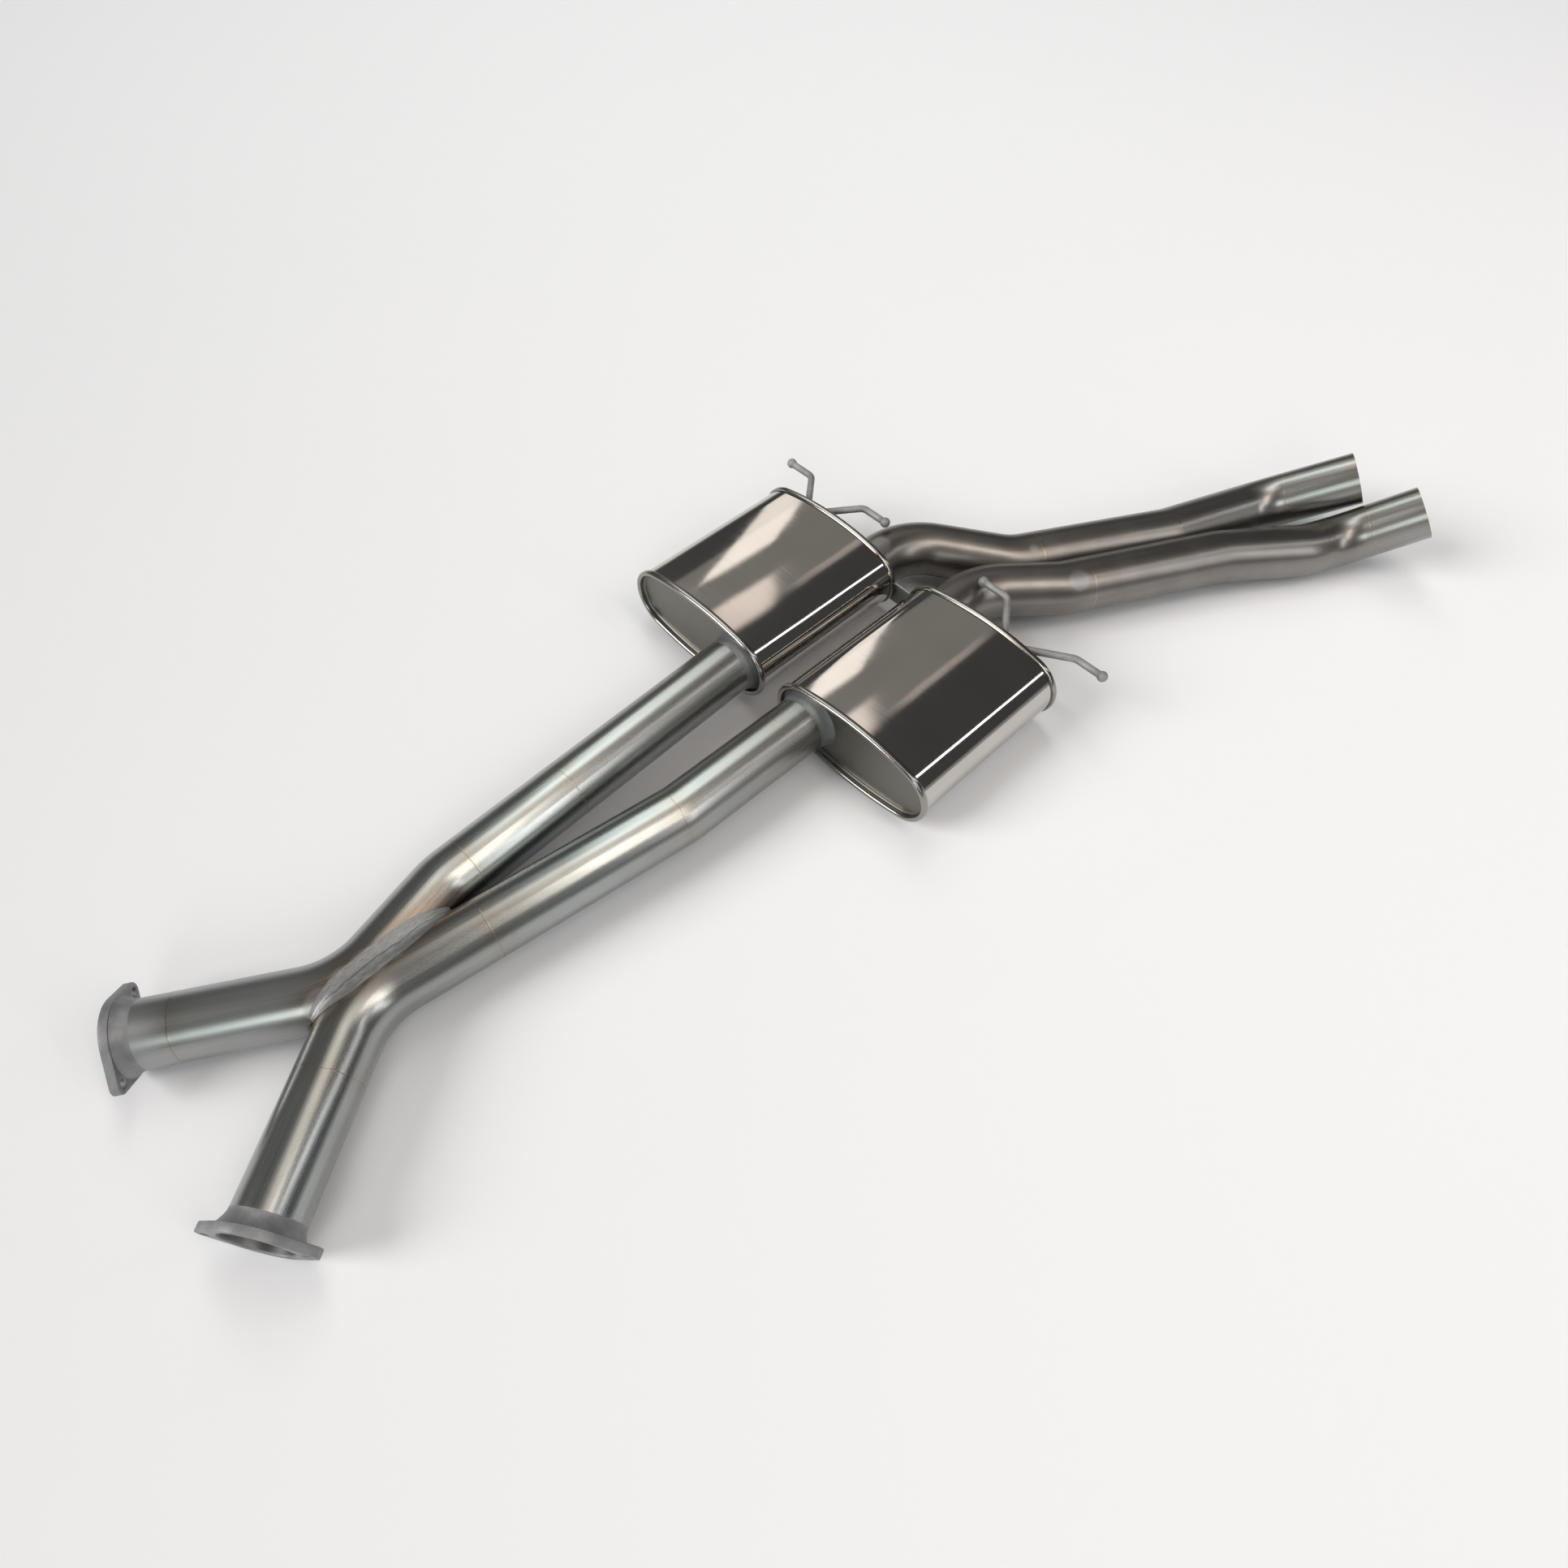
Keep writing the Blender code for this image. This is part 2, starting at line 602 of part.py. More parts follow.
def cross_weld(name, routes, frame, flip):
    """The ground weld strip that fills the valley between the two cross bends, above or below."""
    radius = TUBE_RADIUS + CROSS_WELD_SEAT

    def seat(along, across):
        spot = frame @ Vector((along, across, 0.0))
        lines = [routes[side] for side, sign in SIDES.items() if sign * across >= 0]
        tops = [line.crown(spot.x, spot.y, radius) for line in lines]
        return max((top for top in tops if top), key=lambda top: top[1], default=(0.0, 0.0))

    def deep_enough(along):
        return seat(along, 0.0)[1] > CROSS_WELD_END_HEIGHT

    step = TUBE_OD / 100
    ends = []
    for direction in (-1, 1):
        along = 0.0
        while deep_enough(along + direction * step):
            along += direction * step
        ends.append(along)
    shares = (-1.0, -0.5, 0.0, 0.5, 1.0)
    loops = []
    for i in range(CROSS_WELD_STATIONS + 1):
        along = ends[0] + (ends[1] - ends[0]) * i / CROSS_WELD_STATIONS
        seats = [seat(along, share * CROSS_WELD_HALF_WIDTH) for share in shares]
        valley = seats[2][1]
        brow = (seats[0][1] + seats[-1][1]) / 2
        under = []
        over = []
        for share, (mid, height) in zip(shares, seats):
            hollow = brow - CROSS_WELD_HOLLOW * (brow - valley) * (1 - share ** 2)
            raised = height + CROSS_WELD_EDGE
            if abs(share) < 1:
                raised = max(raised, hollow)
            spot = frame @ Vector((along, share * CROSS_WELD_HALF_WIDTH, 0.0))
            under.append(Vector((spot.x, spot.y, mid + flip * height)))
            over.append(Vector((spot.x, spot.y, mid + flip * raised)))
        loops.append(under + over[::-1])
    bm = bmesh.new()
    skin(bm, loops, caps=True)
    place(name, bm, weld_steel, frame)


def brace():
    """The upright plate that ties the two rear rims together."""
    half = PORT_SPACING / 2 - TUBE_RADIUS - BRACE_PIPE_GAP
    high = BRACE_HEIGHT / 2
    outline = [(-half, -high), (half, -high), (half, high), (-half, high)]
    turn = Matrix(((0, 0, 1), (1, 0, 0), (0, 1, 0))).to_4x4()
    frame = Matrix.Translation((MUFFLER_LENGTH + CLEARANCE, 0.0, -BRACE_DROP)) @ turn
    bm = bmesh.new()
    plate(bm, outline, [], BRACE_THICKNESS, frame)
    place("muffler_brace", bm, rod_steel, frame)


def settle():
    """Move the exhaust so that the bottom centre of its box is at the origin."""
    bpy.context.view_layer.update()
    spots = [item.matrix_world @ vertex.co for item in exhaust.children if not item.hide_render
             for vertex in item.data.vertices]
    low = [min(spot[k] for spot in spots) for k in range(3)]
    high = [max(spot[k] for spot in spots) for k in range(3)]
    exhaust.location = (-(low[0] + high[0]) / 2, -(low[1] + high[1]) / 2, -low[2])


for old in list(bpy.data.objects):
    bpy.data.objects.remove(old, do_unlink=True)
exhaust = bpy.data.objects.new("exhaust", None)
bpy.context.collection.objects.link(exhaust)
tube_steel = steel("satin_tube", (0.30, 0.29, 0.27), 0.28)
weld_steel = steel("ground_weld", (0.20, 0.20, 0.21), 0.55)
flange_steel = steel("blasted_flange", (0.24, 0.24, 0.25), 0.60)
shell_steel = steel("mirror_shell", (0.45, 0.42, 0.40), 0.06)
cap_steel = steel("matte_cap", (0.16, 0.16, 0.14), 0.50)
rod_steel = steel("blasted_rod", (0.32, 0.32, 0.32), 0.60)
core_steel = steel("perforated_core", (0.30, 0.30, 0.30), 0.40)
packing_wool = steel("packing_wool", (0.55, 0.50, 0.38), 0.95, 0.0)

ports = {side: muffler(side) for side in SIDES}
front = {side: front_route(side, port) for side, port in ports.items()}
rear = {"right": rear_route("right", ports["right"], REAR_START)}
rear["left"] = passing_route("left", ports["left"], rear["right"])
merge = merge_frame(front)
for side, sign in SIDES.items():
    tubes = line_pieces(side, front[side], front_lengths(side, front[side], merge.translation))
    open_cross_bend(tubes["cross_bend"], merge, sign, front[side].length)
    line_pieces(side, rear[side], rear_lengths(side, rear[side]))
    flange(side, front[side])
cross_weld("cross_weld_top", front, merge, 1)
cross_weld("cross_weld_bottom", front, merge, -1)
brace()
settle()
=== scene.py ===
# %% [markdown]
# A welded racing exhaust: two 76 mm tubes start at bolted flanges, touch in an X, pass through two oval
# mufflers that lie side by side, and end in two bent tails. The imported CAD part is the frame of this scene.
# It is loaded first and stays where it is; every smooth piece below stands in the place of one CAD node.

# %% Load the frame
import math

import bmesh
import bpy
import numpy as np
from mathutils import Euler, Matrix, Vector


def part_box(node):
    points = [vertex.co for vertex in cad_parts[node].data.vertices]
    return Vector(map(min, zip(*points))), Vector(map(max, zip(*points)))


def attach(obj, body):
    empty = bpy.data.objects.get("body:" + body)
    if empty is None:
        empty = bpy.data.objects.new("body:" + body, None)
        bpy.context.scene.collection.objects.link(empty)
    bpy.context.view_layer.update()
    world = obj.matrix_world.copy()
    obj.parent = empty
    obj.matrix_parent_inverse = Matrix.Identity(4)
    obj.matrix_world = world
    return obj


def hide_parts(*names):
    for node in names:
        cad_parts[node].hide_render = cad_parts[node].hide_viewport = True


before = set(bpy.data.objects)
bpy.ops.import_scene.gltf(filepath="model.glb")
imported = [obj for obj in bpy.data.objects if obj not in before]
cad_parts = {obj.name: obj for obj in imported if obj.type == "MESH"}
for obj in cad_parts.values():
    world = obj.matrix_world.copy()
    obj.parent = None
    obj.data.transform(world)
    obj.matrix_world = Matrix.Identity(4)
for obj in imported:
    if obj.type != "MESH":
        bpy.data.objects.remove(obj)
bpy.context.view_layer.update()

# %% [markdown]
# The part was drawn round the mufflers: x runs back from their front rims, y to the right from the middle
# line, and z up from mid height. The shells' boxes tell how far that drawing was moved when it was packed.
# Measuring it here is safer than typing it, because it follows the part if that is packed again.

# %% Find the drawing's origin
MUFFLER_LENGTH = 0.2655
RIM_LENGTH = 0.009
EDGE_GAP = 0.0003
SHELL_EDGE = RIM_LENGTH / 3 + EDGE_GAP
SIDES = {"right": 1, "left": -1}
shells = {side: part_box(f"{side}_muffler_shell") for side in SIDES}
middles = {side: (Vector(low) + Vector(high)) / 2 for side, (low, high) in shells.items()}
origin = (middles["right"] + middles["left"]) / 2
origin.x = shells["right"][0][0] - SHELL_EDGE
middle_y = {side: middle.y - origin.y for side, middle in middles.items()}
print("drawing origin, mm:", [round(1000 * value, 2) for value in origin])

# %% [markdown]
# Colours are picked in sRGB, as a picture shows them, but Blender's shaders work in linear light. One
# function does that change for every material. The others each add one kind of node and give its output,
# so that a finish below reads like a recipe: noise of some size, a range of it, a blend of two colours.

# %% Colour and node helpers
def linear(colour):
    """Linear RGBA of an sRGB hex colour."""
    parts = [int(colour[i:i + 2], 16) / 255 for i in (1, 3, 5)]
    return (*(p / 12.92 if p <= 0.04045 else ((p + 0.055) / 1.055) ** 2.4 for p in parts), 1.0)


def add_node(tree, kind, sockets=None, output=0, **choices):
    """Add a node with its own choices, and give one output; a socket takes a value or another's output."""
    made = tree.nodes.new("ShaderNode" + kind)
    for name, value in choices.items():
        setattr(made, name, value)
    for socket, value in (sockets or {}).items():
        if isinstance(value, bpy.types.NodeSocket):
            tree.links.new(value, made.inputs[socket])
        else:
            made.inputs[socket].default_value = value
    return made.outputs[output]


def attribute(tree, name, output="Vector"):
    return add_node(tree, "Attribute", output=output, attribute_name=name)


def split(tree, vector):
    """The three numbers of a vector."""
    return add_node(tree, "SeparateXYZ", {"Vector": vector}).node.outputs[:]


def calc(tree, operation, *values):
    return add_node(tree, "Math", dict(enumerate(values)), operation=operation)


def noise(tree, place, size, detail, distortion=0.0):
    """Noise whose marks have one size, or a size along each axis."""
    if isinstance(size, tuple):
        place = add_node(tree, "VectorMath", {0: place, 1: [1 / s for s in size]}, operation="MULTIPLY")
        size = 1.0
    return add_node(tree, "TexNoise", {"Vector": place, "Scale": 1 / size, "Detail": detail,
                                       "Distortion": distortion})


def ramp(tree, value, start, end, low=0.0, high=1.0, smooth=False):
    """Low up to start, high from end, and even or smooth between them."""
    sockets = {"Value": value, "From Min": start, "From Max": end, "To Min": low, "To Max": high}
    return add_node(tree, "MapRange", sockets, interpolation_type="SMOOTHSTEP" if smooth else "LINEAR")


def blend(tree, share, first, second, kind="RGBA"):
    """A mix of two colours, some of them given in hex, or of two numbers."""
    first, second = (linear(end) if isinstance(end, str) else end for end in (first, second))
    return add_node(tree, "Mix", {"Factor": share, "A": first, "B": second}, "Result", data_type=kind)


def scaled(tree, colour, factor):
    return add_node(tree, "VectorMath", {0: colour, "Scale": factor}, operation="SCALE")


def bump(tree, height, strength, distance, **under):
    return add_node(tree, "Bump", {"Height": height, "Strength": strength, "Distance": distance, **under})


def new_finish(name, metallic=1.0):
    """A material with only its Principled shader, its tree, and the place on the object."""
    material = bpy.data.materials.new(name)
    material.use_nodes = True
    tree = material.node_tree
    tree.nodes["Principled BSDF"].inputs["Metallic"].default_value = metallic
    return material, tree, add_node(tree, "TexCoord", output="Object")


def set_shader(tree, colour, roughness, normal=None):
    inputs = tree.nodes["Principled BSDF"].inputs
    for socket, value in (("Base Color", colour), ("Roughness", roughness), ("Normal", normal)):
        if isinstance(value, bpy.types.NodeSocket):
            tree.links.new(value, inputs[socket])
        elif value is not None:
            inputs[socket].default_value = value


print("steel grey in linear light:", [round(value, 3) for value in linear("#8a867f")[:3]])

# %% [markdown]
# The flanges, the hanger rods and the flared welds were bead blasted: small glass beads leave a matte,
# even grey with fine dimples of about 0.3 mm. They are drawn 0.8 mm across, so that they show. Handling
# leaves softer grey patches, and one function makes every blasted shade.

# %% Bead-blasted steel
DIMPLE = 0.0008
DIMPLE_DEPTH = 0.0003
SMUDGE = 0.022
SMUDGE_ROUGHNESS = 0.06


def blasted_steel(name, light, dark, roughness):
    material, tree, place = new_finish(name)
    grain = noise(tree, place, DIMPLE, 2.0)
    patch = noise(tree, place, SMUDGE, 4.0)
    colour = blend(tree, ramp(tree, patch, 0.35, 0.65), light, dark)
    speckled = scaled(tree, colour, ramp(tree, grain, 0.3, 0.7, 0.86, 1.12))
    rough = ramp(tree, patch, 0.0, 1.0, roughness - SMUDGE_ROUGHNESS, roughness + SMUDGE_ROUGHNESS)
    set_shader(tree, speckled, rough, bump(tree, grain, 0.25, DIMPLE_DEPTH))
    return material


flange_finish = blasted_steel("bead_blasted_flange", "#a4a4a6", "#8f8f92", 0.62)
rod_finish = blasted_steel("bead_blasted_rod", "#b0b0af", "#9b9b9a", 0.72)
collar_finish = blasted_steel("blasted_weld_collar", "#979a9b", "#828485", 0.60)
brace_finish = blasted_steel("plain_brace_steel", "#999a99", "#858686", 0.50)
print("four blasted shades, such as", flange_finish.name)

# %% [markdown]
# The muffler shells are thin stainless sheet polished to a mirror. Such sheet is never quite flat: it waves
# a little between its rolled ends, which bends the reflections, and faint polishing lines run round it.
# A low bump of about 80 mm makes the waves. The sheet darkens a little in soft clouds.

# %% Mirror-polished shell
WAVE_LENGTH = 0.08
WAVE_DEPTH = 0.002
POLISH_LINE = (0.0012, 0.15, 0.15)
POLISH_DEPTH = 0.0001
shell_finish, tree, place = new_finish("mirror_polished_sheet")
wave = noise(tree, place, WAVE_LENGTH, 1.0)
lines = noise(tree, place, POLISH_LINE, 2.0)
colour = blend(tree, wave, "#c8c5c0", "#bbb7b1")
rough = ramp(tree, lines, 0.3, 0.7, 0.05, 0.09)
fine = bump(tree, lines, 0.03, POLISH_DEPTH)
set_shader(tree, colour, rough, bump(tree, wave, 0.15, WAVE_DEPTH, Normal=fine))
print(shell_finish.name, "waves every", round(1000 * WAVE_LENGTH), "mm")

# %% [markdown]
# The end caps are pressed from duller sheet: grey with an olive cast, the press marks still on it. The
# welds on the seams were ground nearly flush, which leaves a dull grey band with short streaks along the
# joint. Both are made from stretched noise, one in the drawing's axes and one along the weld.

# %% Pressed caps and ground welds
PRESS_MARK = (0.02, 0.03, 0.0016)
PRESS_DEPTH = 0.0002
GRIND_MARK = (0.009, 0.009, 0.0012)
GRIND_ROUGHNESS = 0.1
WELD_SCALE = 0.0022
WELD_SCALE_DEPTH = 0.0004
ROOT_BEND = 0.03
ROOT_SWAY = 0.012
ROOT_WIDTH = (0.0014, 0.0003)


def ground_weld(name, light, dark, ripple, roughness, root=0.0):
    """A weld ground by hand: how much of its scales is left, and how dark the root line in its middle is."""
    material, tree, _ = new_finish(name)
    along = attribute(tree, "straight")
    streak = noise(tree, along, GRIND_MARK, 4.0)
    scales = noise(tree, along, WELD_SCALE, 1.0)
    colour = blend(tree, ramp(tree, streak, 0.32, 0.68), dark, light)
    if root:
        sway = noise(tree, along, ROOT_BEND, 3.0)
        bent = calc(tree, "MULTIPLY_ADD", sway, ROOT_SWAY, split(tree, along)[2])
        away = calc(tree, "ABSOLUTE", calc(tree, "SUBTRACT", bent, ROOT_SWAY / 2))
        colour = blend(tree, ramp(tree, away, *ROOT_WIDTH, high=root), colour, "#4f4c4e")
    rough = ramp(tree, streak, 0.0, 1.0, roughness - GRIND_ROUGHNESS, roughness + GRIND_ROUGHNESS)
    set_shader(tree, colour, rough, bump(tree, scales, ripple, WELD_SCALE_DEPTH))
    return material


cap_finish, tree, place = new_finish("pressed_cap_sheet")
rim = attribute(tree, "rim", "Fac")
marks = noise(tree, place, PRESS_MARK, 3.0)
colour = blend(tree, rim, blend(tree, marks, "#6f6e68", "#7f7e77"), "#9a9793")
rough = blend(tree, rim, ramp(tree, marks, 0.0, 1.0, 0.30, 0.50), 0.20, "FLOAT")
set_shader(tree, colour, rough, bump(tree, marks, 0.1, PRESS_DEPTH))
seam_finish = ground_weld("flush_ground_seam", "#9c9d9b", "#8b8a86", 0.15, 0.28)
valley_finish = ground_weld("ground_valley_weld", "#a8a8a8", "#858484", 0.45, 0.50, root=0.6)
print("dull finishes:", cap_finish.name, seam_finish.name, valley_finish.name)

# %% [markdown]
# Inside the mufflers lie a perforated core and a block of wool. They are only seen if someone cuts a shell
# open, so their CAD solids stay and only get finishes: plain pierced sheet, and tangled fibres.

# %% Core and packing
CORE_CLOUD = 0.012
FIBRE = 0.003
FIBRE_DEPTH = 0.001
core_finish, tree, place = new_finish("pierced_core_sheet")
cloud = noise(tree, place, CORE_CLOUD, 4.0)
set_shader(tree, blend(tree, cloud, "#8d8a85", "#6c6257"), ramp(tree, cloud, 0.0, 1.0, 0.3, 0.6))
wool_finish, tree, place = new_finish("mineral_wool", metallic=0.0)
fibre = noise(tree, place, FIBRE, 6.0, distortion=2.0)
set_shader(tree, blend(tree, fibre, "#b3a27c", "#e2d7ba"), 0.95, bump(tree, fibre, 0.6, FIBRE_DEPTH))
for side in SIDES:
    for inner, finish in (("core", core_finish), ("packing", wool_finish)):
        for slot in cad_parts[f"{side}_muffler_{inner}"].material_slots:
            slot.material = finish
print("core and packing keep their CAD solids")

# %% [markdown]
# A pipe bender knows a tube as straight runs joined by round bends, so the centre lines are written that
# way: corner points and bend radii. The class below walks along such a line and gives the place and the
# direction at any distance. A curve object could do this too, but a bend's radius would then be guessed.

# %% Centre lines
BEND_STEP = 3.0
STRAIGHT_STEP = 0.030
STATION_GAP = 0.001
UP = Vector((0, 0, 1))


class Line:
    def __init__(self, corners, radii):
        corners = [Vector(corner) + origin for corner in corners]
        self.points = [corners[0]]
        self.tangents = [(corners[1] - corners[0]).normalized()]
        self.distances = [0.0]
        for before, corner, after, radius in zip(corners, corners[1:], corners[2:], radii):
            arrive = (corner - before).normalized()
            leave = (after - corner).normalized()
            turn = arrive.angle(leave)
            inward = (leave - arrive * arrive.dot(leave)).normalized()
            centre = corner - arrive * radius * math.tan(turn / 2) + inward * radius
            steps = max(2, math.ceil(math.degrees(turn) / BEND_STEP))
            for i in range(steps + 1):
                angle = turn * i / steps
                spot = centre + radius * (arrive * math.sin(angle) - inward * math.cos(angle))
                self.go_to(spot, arrive * math.cos(angle) + inward * math.sin(angle))
        self.go_to(corners[-1], (corners[-1] - corners[-2]).normalized())
        self.length = self.distances[-1]

    def go_to(self, spot, tangent):
        last = self.points[-1]
        gap = (spot - last).length
        count = max(1, math.ceil(gap / STRAIGHT_STEP))
        for i in range(1, count + 1):
            self.points.append(last.lerp(spot, i / count))
            self.tangents.append(tangent if i == count else self.tangents[-1])
            self.distances.append(self.distances[-1] + gap / count)

    def at(self, distance):
        """Distance, point and tangent at a distance along the line."""
        i = min(max(int(np.searchsorted(self.distances, distance)) - 1, 0), len(self.points) - 2)
        share = (distance - self.distances[i]) / max(self.distances[i + 1] - self.distances[i], 1e-9)
        tangent = self.tangents[i].lerp(self.tangents[i + 1], share).normalized()
        return distance, self.points[i].lerp(self.points[i + 1], share), tangent

    def stations(self, start, end):
        inside = [d for d in self.distances if start + STATION_GAP < d < end - STATION_GAP]
        return [self.at(d) for d in (start, *inside, end)]

    def nearest(self, spot):
        """Distance along the line of its closest sample to a spot."""
        return min(zip(self.points, self.distances), key=lambda pair: (pair[0] - spot).length)[1]


def axes(tangent):
    side = UP.cross(tangent).normalized()
    return side, tangent.cross(side)


def section(station, radius, count, along=0.0):
    """A round section of a tube, moved along it."""
    _, spot, tangent = station
    side, top = axes(tangent)
    centre = spot + tangent * along
    turns = [2 * math.pi * i / count for i in range(count)]
    return [centre + (side * math.cos(a) + top * math.sin(a)) * radius for a in turns]


print("a bend is drawn every", BEND_STEP, "degrees")

# %% [markdown]
# Each line is written from its muffler outwards, as run lengths and headings. The front lines fall a little
# towards the flanges. The rear lines drop to the floor behind the mufflers and rise again at their tails.

# %% The four lines
TUBE_RADIUS = 0.0381
TUBE_WALL = 0.0016
PORT_OFFSET = 0.0735
PORT_DEPTH = 0.030
FRONT_FALL = 0.012
FRONT_RUNS = {
    "right": ((0.451, 1.9), (0.160, 14.8), (0.235, -31.4)),
    "left": ((0.191, -1.1), (0.412, -8.0), (0.252, 34.9))}
REAR_START = {"right": 0.0725, "left": 0.0750}
REAR_RUNS = {
    "right": ((0.161, -49.5, -0.0182), (0.2515, -29.6, 0.0), (0.175, -21.2, 0.0), (0.121, -51.6, 0.0665)),
    "left": ((0.1265, -38.6, -0.004), (0.2505, -28.0, -0.001), (0.1395, -33.9, -0.009),
             (0.0675, -20.3, -0.0055), (0.099, -49.7, 0.0655))}
FRONT_STUB = 0.020
FRONT_BEND = 0.1143
REAR_BEND = 0.108
TAIL_BEND = 0.095
port_y = {side: middle_y[side] - sign * PORT_OFFSET for side, sign in SIDES.items()}


def front_line(side):
    spans = [length * math.cos(math.radians(heading)) for length, heading in FRONT_RUNS[side]]
    corners = [Vector((x, port_y[side], 0)) for x in (PORT_DEPTH, -FRONT_STUB)]
    for (length, heading), span in zip(FRONT_RUNS[side], spans):
        sideways = length * math.sin(math.radians(heading))
        corners.append(corners[-1] - Vector((span, sideways, FRONT_FALL * span / sum(spans))))
    return Line(corners[::-1], [FRONT_BEND] * len(spans))


def rear_line(side):
    corners = [Vector((MUFFLER_LENGTH + x, port_y[side], 0)) for x in (-PORT_DEPTH, REAR_START[side])]
    for length, heading, rise in REAR_RUNS[side]:
        angle = math.radians(heading)
        corners.append(corners[-1] + Vector((length * math.cos(angle), length * math.sin(angle), rise)))
    return Line(corners, [REAR_BEND] * (len(corners) - 3) + [TAIL_BEND])


fronts = {side: front_line(side) for side in SIDES}
rears = {side: rear_line(side) for side in SIDES}
print("line lengths, mm:", [round(1000 * line.length) for line in (*fronts.values(), *rears.values())])

# %% [markdown]
# At the X the two lines touch along an upright plane, which the welder cut both tubes to. Its middle, and
# the directions along and across it, are needed by the tubes' finish, by the cut and by the weld.

# %% Where the lines touch
MERGE_TURN = math.radians(2.575)
crossing = Vector((-0.5984, 0.0044, -0.0086)) + origin
along_plane = Vector((math.cos(MERGE_TURN), math.sin(MERGE_TURN), 0.0))
across = Vector((-math.sin(MERGE_TURN), math.cos(MERGE_TURN), 0.0))
print("the lines touch at, mm:", [round(1000 * value) for value in crossing])

# %% [markdown]
# The tubes are welded stainless steel, sold with a satin finish: a belt leaves fine scratches along the
# tube. Real scratches are about 0.1 mm wide, too fine to show here, so they are drawn 0.7 mm wide. Each
# tube carries an attribute called straight, its surface unrolled onto a straight tube, so that the
# scratches follow the bends. A second one, ends, holds the distances to the tube's two ends and its tone.
# Welding tints the steel: faint straw at each end, and bronze beside the long weld of the X. Behind the
# flanges, along the valley of the X and in a few small patches, the tube was blasted or ground matte. A
# sphere round the tube's middle line cuts a true ring out of it, so each matte place is a point, a distance
# that is fully matte, the width over which that fades, and its strength.

# %% Satin stainless tube
SCRATCH = (0.0007, 0.0007, 0.09)
SCRATCH_DEPTH = 0.0002
BAND = (0.007, 0.007, 0.30)
CLOUD_SIZE = 0.055
HEAT_REACH = (0.040, 0.012)
HEAT_WANDER = 0.03
BRONZE_REACH = (0.034, 0.010)
BRONZE_LENGTH = (0.13, 0.07)
BRONZE_SHIFT = 0.025
RAGGED = 0.008
TONE_ROUGHNESS = 0.10
VALLEY_LIFT = 0.026
MATTE_PLACES = [
    (fronts["right"].points[0], 0.042, 0.055, 0.85),
    (fronts["left"].points[0], 0.038, 0.016, 0.85),
    (fronts["right"].at(0.13)[1], 0.050, 0.080, 0.35),
    (Vector((0.4040, -0.0765, 0.0863)), 0.0150, 0.008, 0.55),
    (Vector((0.4203, 0.0143, 0.0747)), 0.0060, 0.006, 0.55),
    (Vector((0.2475, 0.1580, 0.0955)), 0.0145, 0.006, 0.55)]
MATTE_PLACES += [(crossing + along_plane * along + UP * VALLEY_LIFT, 0.021, 0.008, 0.55)
                 for along in (-0.055, -0.025, 0.005, 0.035)]


def bronze_share(tree, place):
    """1 beside the long weld of the X, falling to 0 away from it."""
    share = 1.0
    middle = crossing + along_plane * BRONZE_SHIFT
    away = add_node(tree, "VectorMath", {0: place, 1: middle}, operation="SUBTRACT")
    for way, reach in ((across, BRONZE_REACH), (along_plane, BRONZE_LENGTH)):
        flat = add_node(tree, "VectorMath", {0: away, 1: way}, "Value", operation="DOT_PRODUCT")
        share = calc(tree, "MULTIPLY", ramp(tree, calc(tree, "ABSOLUTE", flat), *reach, smooth=True), share)
    return share


def matte_share(tree, place, wobble):
    """Up to 1 in the blasted and ground places; the wobble makes their edges ragged."""
    share = 0.0
    for spot, reach, fade, strength in MATTE_PLACES:
        away = add_node(tree, "VectorMath", {0: place, 1: spot}, "Value", operation="DISTANCE")
        ragged = calc(tree, "MULTIPLY_ADD", wobble, RAGGED, away)
        inside = ramp(tree, ragged, reach + fade, reach, high=strength, smooth=True)
        share = calc(tree, "MAXIMUM", inside, share)
    return share


tube_finish, tree, place = new_finish("satin_stainless_tube")
unrolled = attribute(tree, "straight")
from_start, from_end, tone = split(tree, attribute(tree, "ends"))
scratch = noise(tree, unrolled, SCRATCH, 3.0)
bands = noise(tree, unrolled, BAND, 2.0)
cloud = noise(tree, unrolled, CLOUD_SIZE, 3.0)
wander = calc(tree, "MULTIPLY_ADD", cloud, HEAT_WANDER, calc(tree, "MINIMUM", from_start, from_end))
clouds = ramp(tree, cloud, 0.40, 0.70, high=0.35, smooth=True)
colour = blend(tree, clouds, blend(tree, tone, "#a6aaa9", "#827d79"), "#95948f")
colour = blend(tree, ramp(tree, wander, *HEAT_REACH, high=0.25, smooth=True), colour, "#9a8b79")
bronze = calc(tree, "MULTIPLY", bronze_share(tree, place), 0.60)
colour = blend(tree, bronze, colour, "#8d6f50")
streaks = ramp(tree, bands, 0.3, 0.7, 0.94, 1.04)
worn = calc(tree, "MULTIPLY", streaks, ramp(tree, scratch, 0.3, 0.7, 0.96, 1.04))
matte = matte_share(tree, place, cloud)
colour = blend(tree, matte, scaled(tree, colour, worn), "#a2a3a4")
satin = ramp(tree, scratch, 0.3, 0.7, 0.20, 0.27)
rough = blend(tree, matte, calc(tree, "MULTIPLY_ADD", tone, TONE_ROUGHNESS, satin), 0.45, "FLOAT")
set_shader(tree, colour, rough, bump(tree, scratch, 0.04, SCRATCH_DEPTH))
print(tube_finish.name, "has", len(MATTE_PLACES), "matte places")

# %% [markdown]
# Every round or oval piece can be drawn from one ring: add a circle, lay it on the first section, extrude
# its edge, lay the new edge on the next section, and so on. This is how a tube is drawn by hand, one ring
# at a time. A ring that comes back to its first section is merged there, which closes the wall.

# %% Pull a ring through sections
MERGE_GAP = 1e-6
FIRST_RADIUS = 0.01
UNROLL_STEP = 0.003


